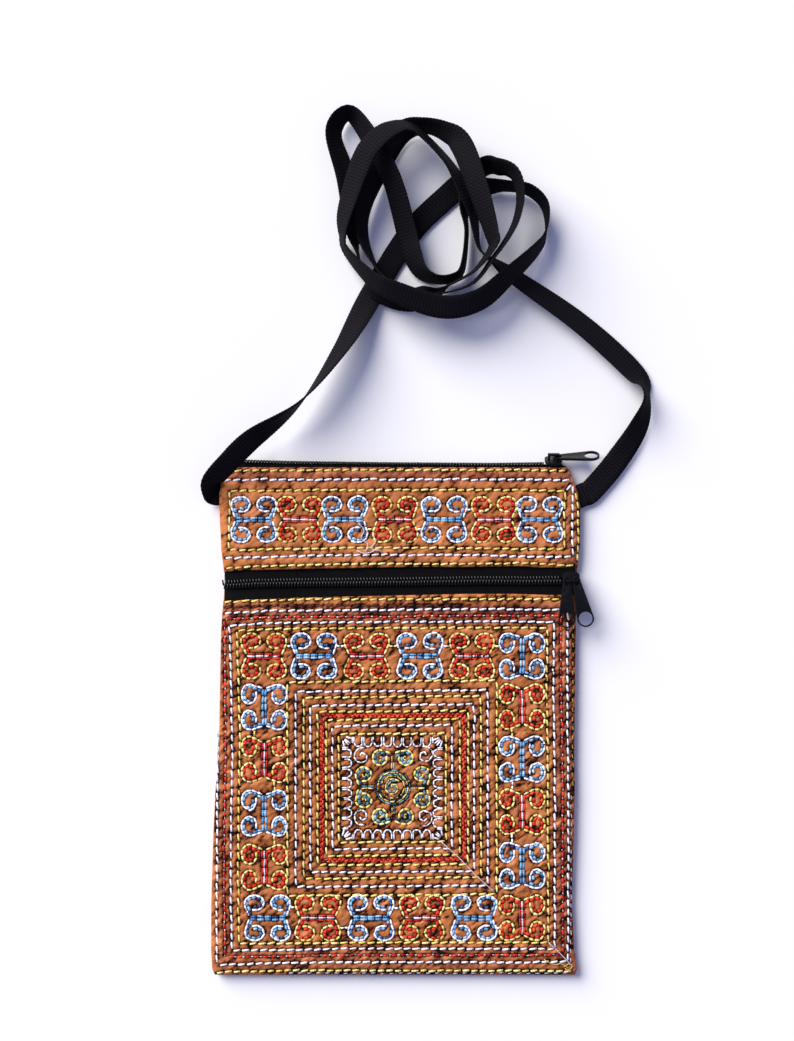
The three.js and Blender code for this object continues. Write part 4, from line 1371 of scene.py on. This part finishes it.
class BAG_OT_zip_metal(bpy.types.Operator):
    """Sliders and ring-ended pull tabs, with rounded edges"""
    bl_idname = "bag.zip_metal"
    bl_label = "Zip metal"

    BODIES = {
        "front_zip_slider": BAG, "top_zip_slider": BAG, "front_zip_pull_left": "front_pull_left",
        "front_zip_pull_right": "front_pull_right", "top_zip_pull": "top_pull",
    }
    FLAT_ANGLE, SHARP_ANGLE = math.radians(1), math.radians(35)

    def rounded(self, node, rounding):
        bm = bmesh.new()
        bm.from_mesh(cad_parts[node].data)
        bmesh.ops.remove_doubles(bm, verts=bm.verts, dist=MM / 1000)
        bmesh.ops.dissolve_limit(bm, angle_limit=self.FLAT_ANGLE, verts=bm.verts, edges=bm.edges)
        sharp = [e for e in bm.edges if e.is_manifold and e.calc_face_angle() > self.SHARP_ANGLE]
        bmesh.ops.bevel(bm, geom=sharp, offset=rounding, offset_type="OFFSET", segments=3, profile=0.5,
                        affect="EDGES", clamp_overlap=True, material=-1)
        mesh = bpy.data.meshes.new(node + "_enamel")
        bm.to_mesh(mesh)
        bm.free()
        return mesh

    def execute(self, context):
        settings = context.scene.bag_zip
        enamel = enamel_finish("black_enamel", tuple(settings.metal), tuple(settings.worn))
        for node, body in self.BODIES.items():
            shown(node + "_enamel", self.rounded(node, settings.edge), enamel, body, [node])
        return {"FINISHED"}


class BAG_OT_loose_threads(bpy.types.Operator):
    """Thread ends and jumps that lie loose on the front"""
    bl_idname = "bag.loose_threads"
    bl_label = "Loose threads"

    RADIUS, SIDES, STEP, CLEARANCE, SHADE = 0.17, 6, 0.7, 0.4, 0.2
    # Thread and the points that each loose end passes, X and Y
    LINES = (
        ("white", ((18.9, -51.9), (26, -58.2), (33, -65.4), (41.2, -72.9))),
        ("white", ((64, -94.3), (68, -98), (72, -102.2), (74.6, -105))),
        ("white", ((-15.8, 81.6), (-13.4, 78.6), (-14.6, 75.2), (-11.8, 72.8), (-12.6, 69.8))),
        ("white", ((-16.4, 70.2), (-13.8, 69), (-10.6, 69.4), (-8, 70.6), (-5.8, 69.2))),
        ("white", ((-9.8, 77.2), (-8.6, 74), (-10.2, 71.2), (-7.2, 69.8))),
        ("yellow", ((62, -101.4), (66.4, -103.6), (69.4, -103.2), (72.8, -105.6))),
        ("yellow", ((70.2, -104.8), (72.6, -103.4), (74, -104.6), (72.4, -106), (70.8, -105.4))),
    )

    def execute(self, context):
        face, _ = front_of(context.scene)
        turn = round_turns(self.SIDES)[:, None]
        for thread in ("white", "yellow"):
            points, faces, corners, count = [], [], [], 0
            for _, line in (row for row in self.LINES if row[0] == thread):
                route = np.array([(x, y, 0) for x, y in line], float)
                middle, run = smooth_line(route, self.STEP)
                middle[:, 2] = face.height(middle[:, 0], middle[:, 1]) - face.dent(middle[:, 0], middle[:, 1])
                middle[:, 2] += self.CLEARANCE
                middle[[0, -1], 2] -= 2 * self.CLEARANCE
                ahead = unit(np.gradient(middle, axis=0))
                across = unit(np.cross((0, 0, 1), ahead))
                up = np.cross(ahead, across)
                ring = across[:, None] * np.cos(turn) + up[:, None] * np.sin(turn)
                points.append((middle[:, None] + self.RADIUS * ring).reshape(-1, 3))
                faces.append(tube_faces(len(middle), self.SIDES) + count)
                round_it = np.tile(turn.ravel() / math.tau, len(run))
                corners.append(np.stack([np.repeat(run, self.SIDES), round_it], -1))
                count += len(points[-1])
            name = "loose_threads_" + thread
            faces = np.concatenate(faces)
            mesh = array_mesh(name, np.concatenate(points), faces)
            set_attribute(mesh, "shade", np.full(count, self.SHADE))
            set_uv(mesh, "along", np.concatenate(corners)[faces.ravel()])
            shown(name, mesh, bpy.data.materials[thread + "_thread"], BAG)
        return {"FINISHED"}


# Add-on

SETTINGS = {
    "bag_cloth": BagClothSettings, "bag_thread": BagThreadSettings, "bag_zip": BagZipSettings,
    "bag_strap": BagStrapSettings, "bag_stage": BagStageSettings,
}
OPERATORS = (
    BAG_OT_stage, BAG_OT_strap, BAG_OT_back_cloth, BAG_OT_front_cloth, BAG_OT_embroidery,
    BAG_OT_front_zip, BAG_OT_top_zip, BAG_OT_zip_metal, BAG_OT_loose_threads,
)


class BAG_PT_sidebar(bpy.types.Panel):
    """Lists the pieces of the bag and their settings"""
    bl_idname = "BAG_PT_sidebar"
    bl_label = "Embroidered bag"
    bl_space_type = "VIEW_3D"
    bl_region_type = "UI"
    bl_category = "Bag"

    def draw(self, context):
        for operator in OPERATORS:
            self.layout.operator(operator.bl_idname)
        for name, group in SETTINGS.items():
            box = self.layout.box()
            for setting in group.__annotations__:
                box.prop(getattr(context.scene, name), setting)


CLASSES = (*SETTINGS.values(), *OPERATORS, BAG_PT_sidebar)


def register():
    for made in CLASSES:
        bpy.utils.register_class(made)
    for name, group in SETTINGS.items():
        setattr(bpy.types.Scene, name, PointerProperty(type=group))


def unregister():
    for name in SETTINGS:
        delattr(bpy.types.Scene, name)
    for made in reversed(CLASSES):
        bpy.utils.unregister_class(made)


def main():
    register()
    for operator in OPERATORS:
        getattr(bpy.ops.bag, operator.bl_idname.split(".")[1])()
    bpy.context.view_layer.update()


if __name__ == "__main__":
    main()
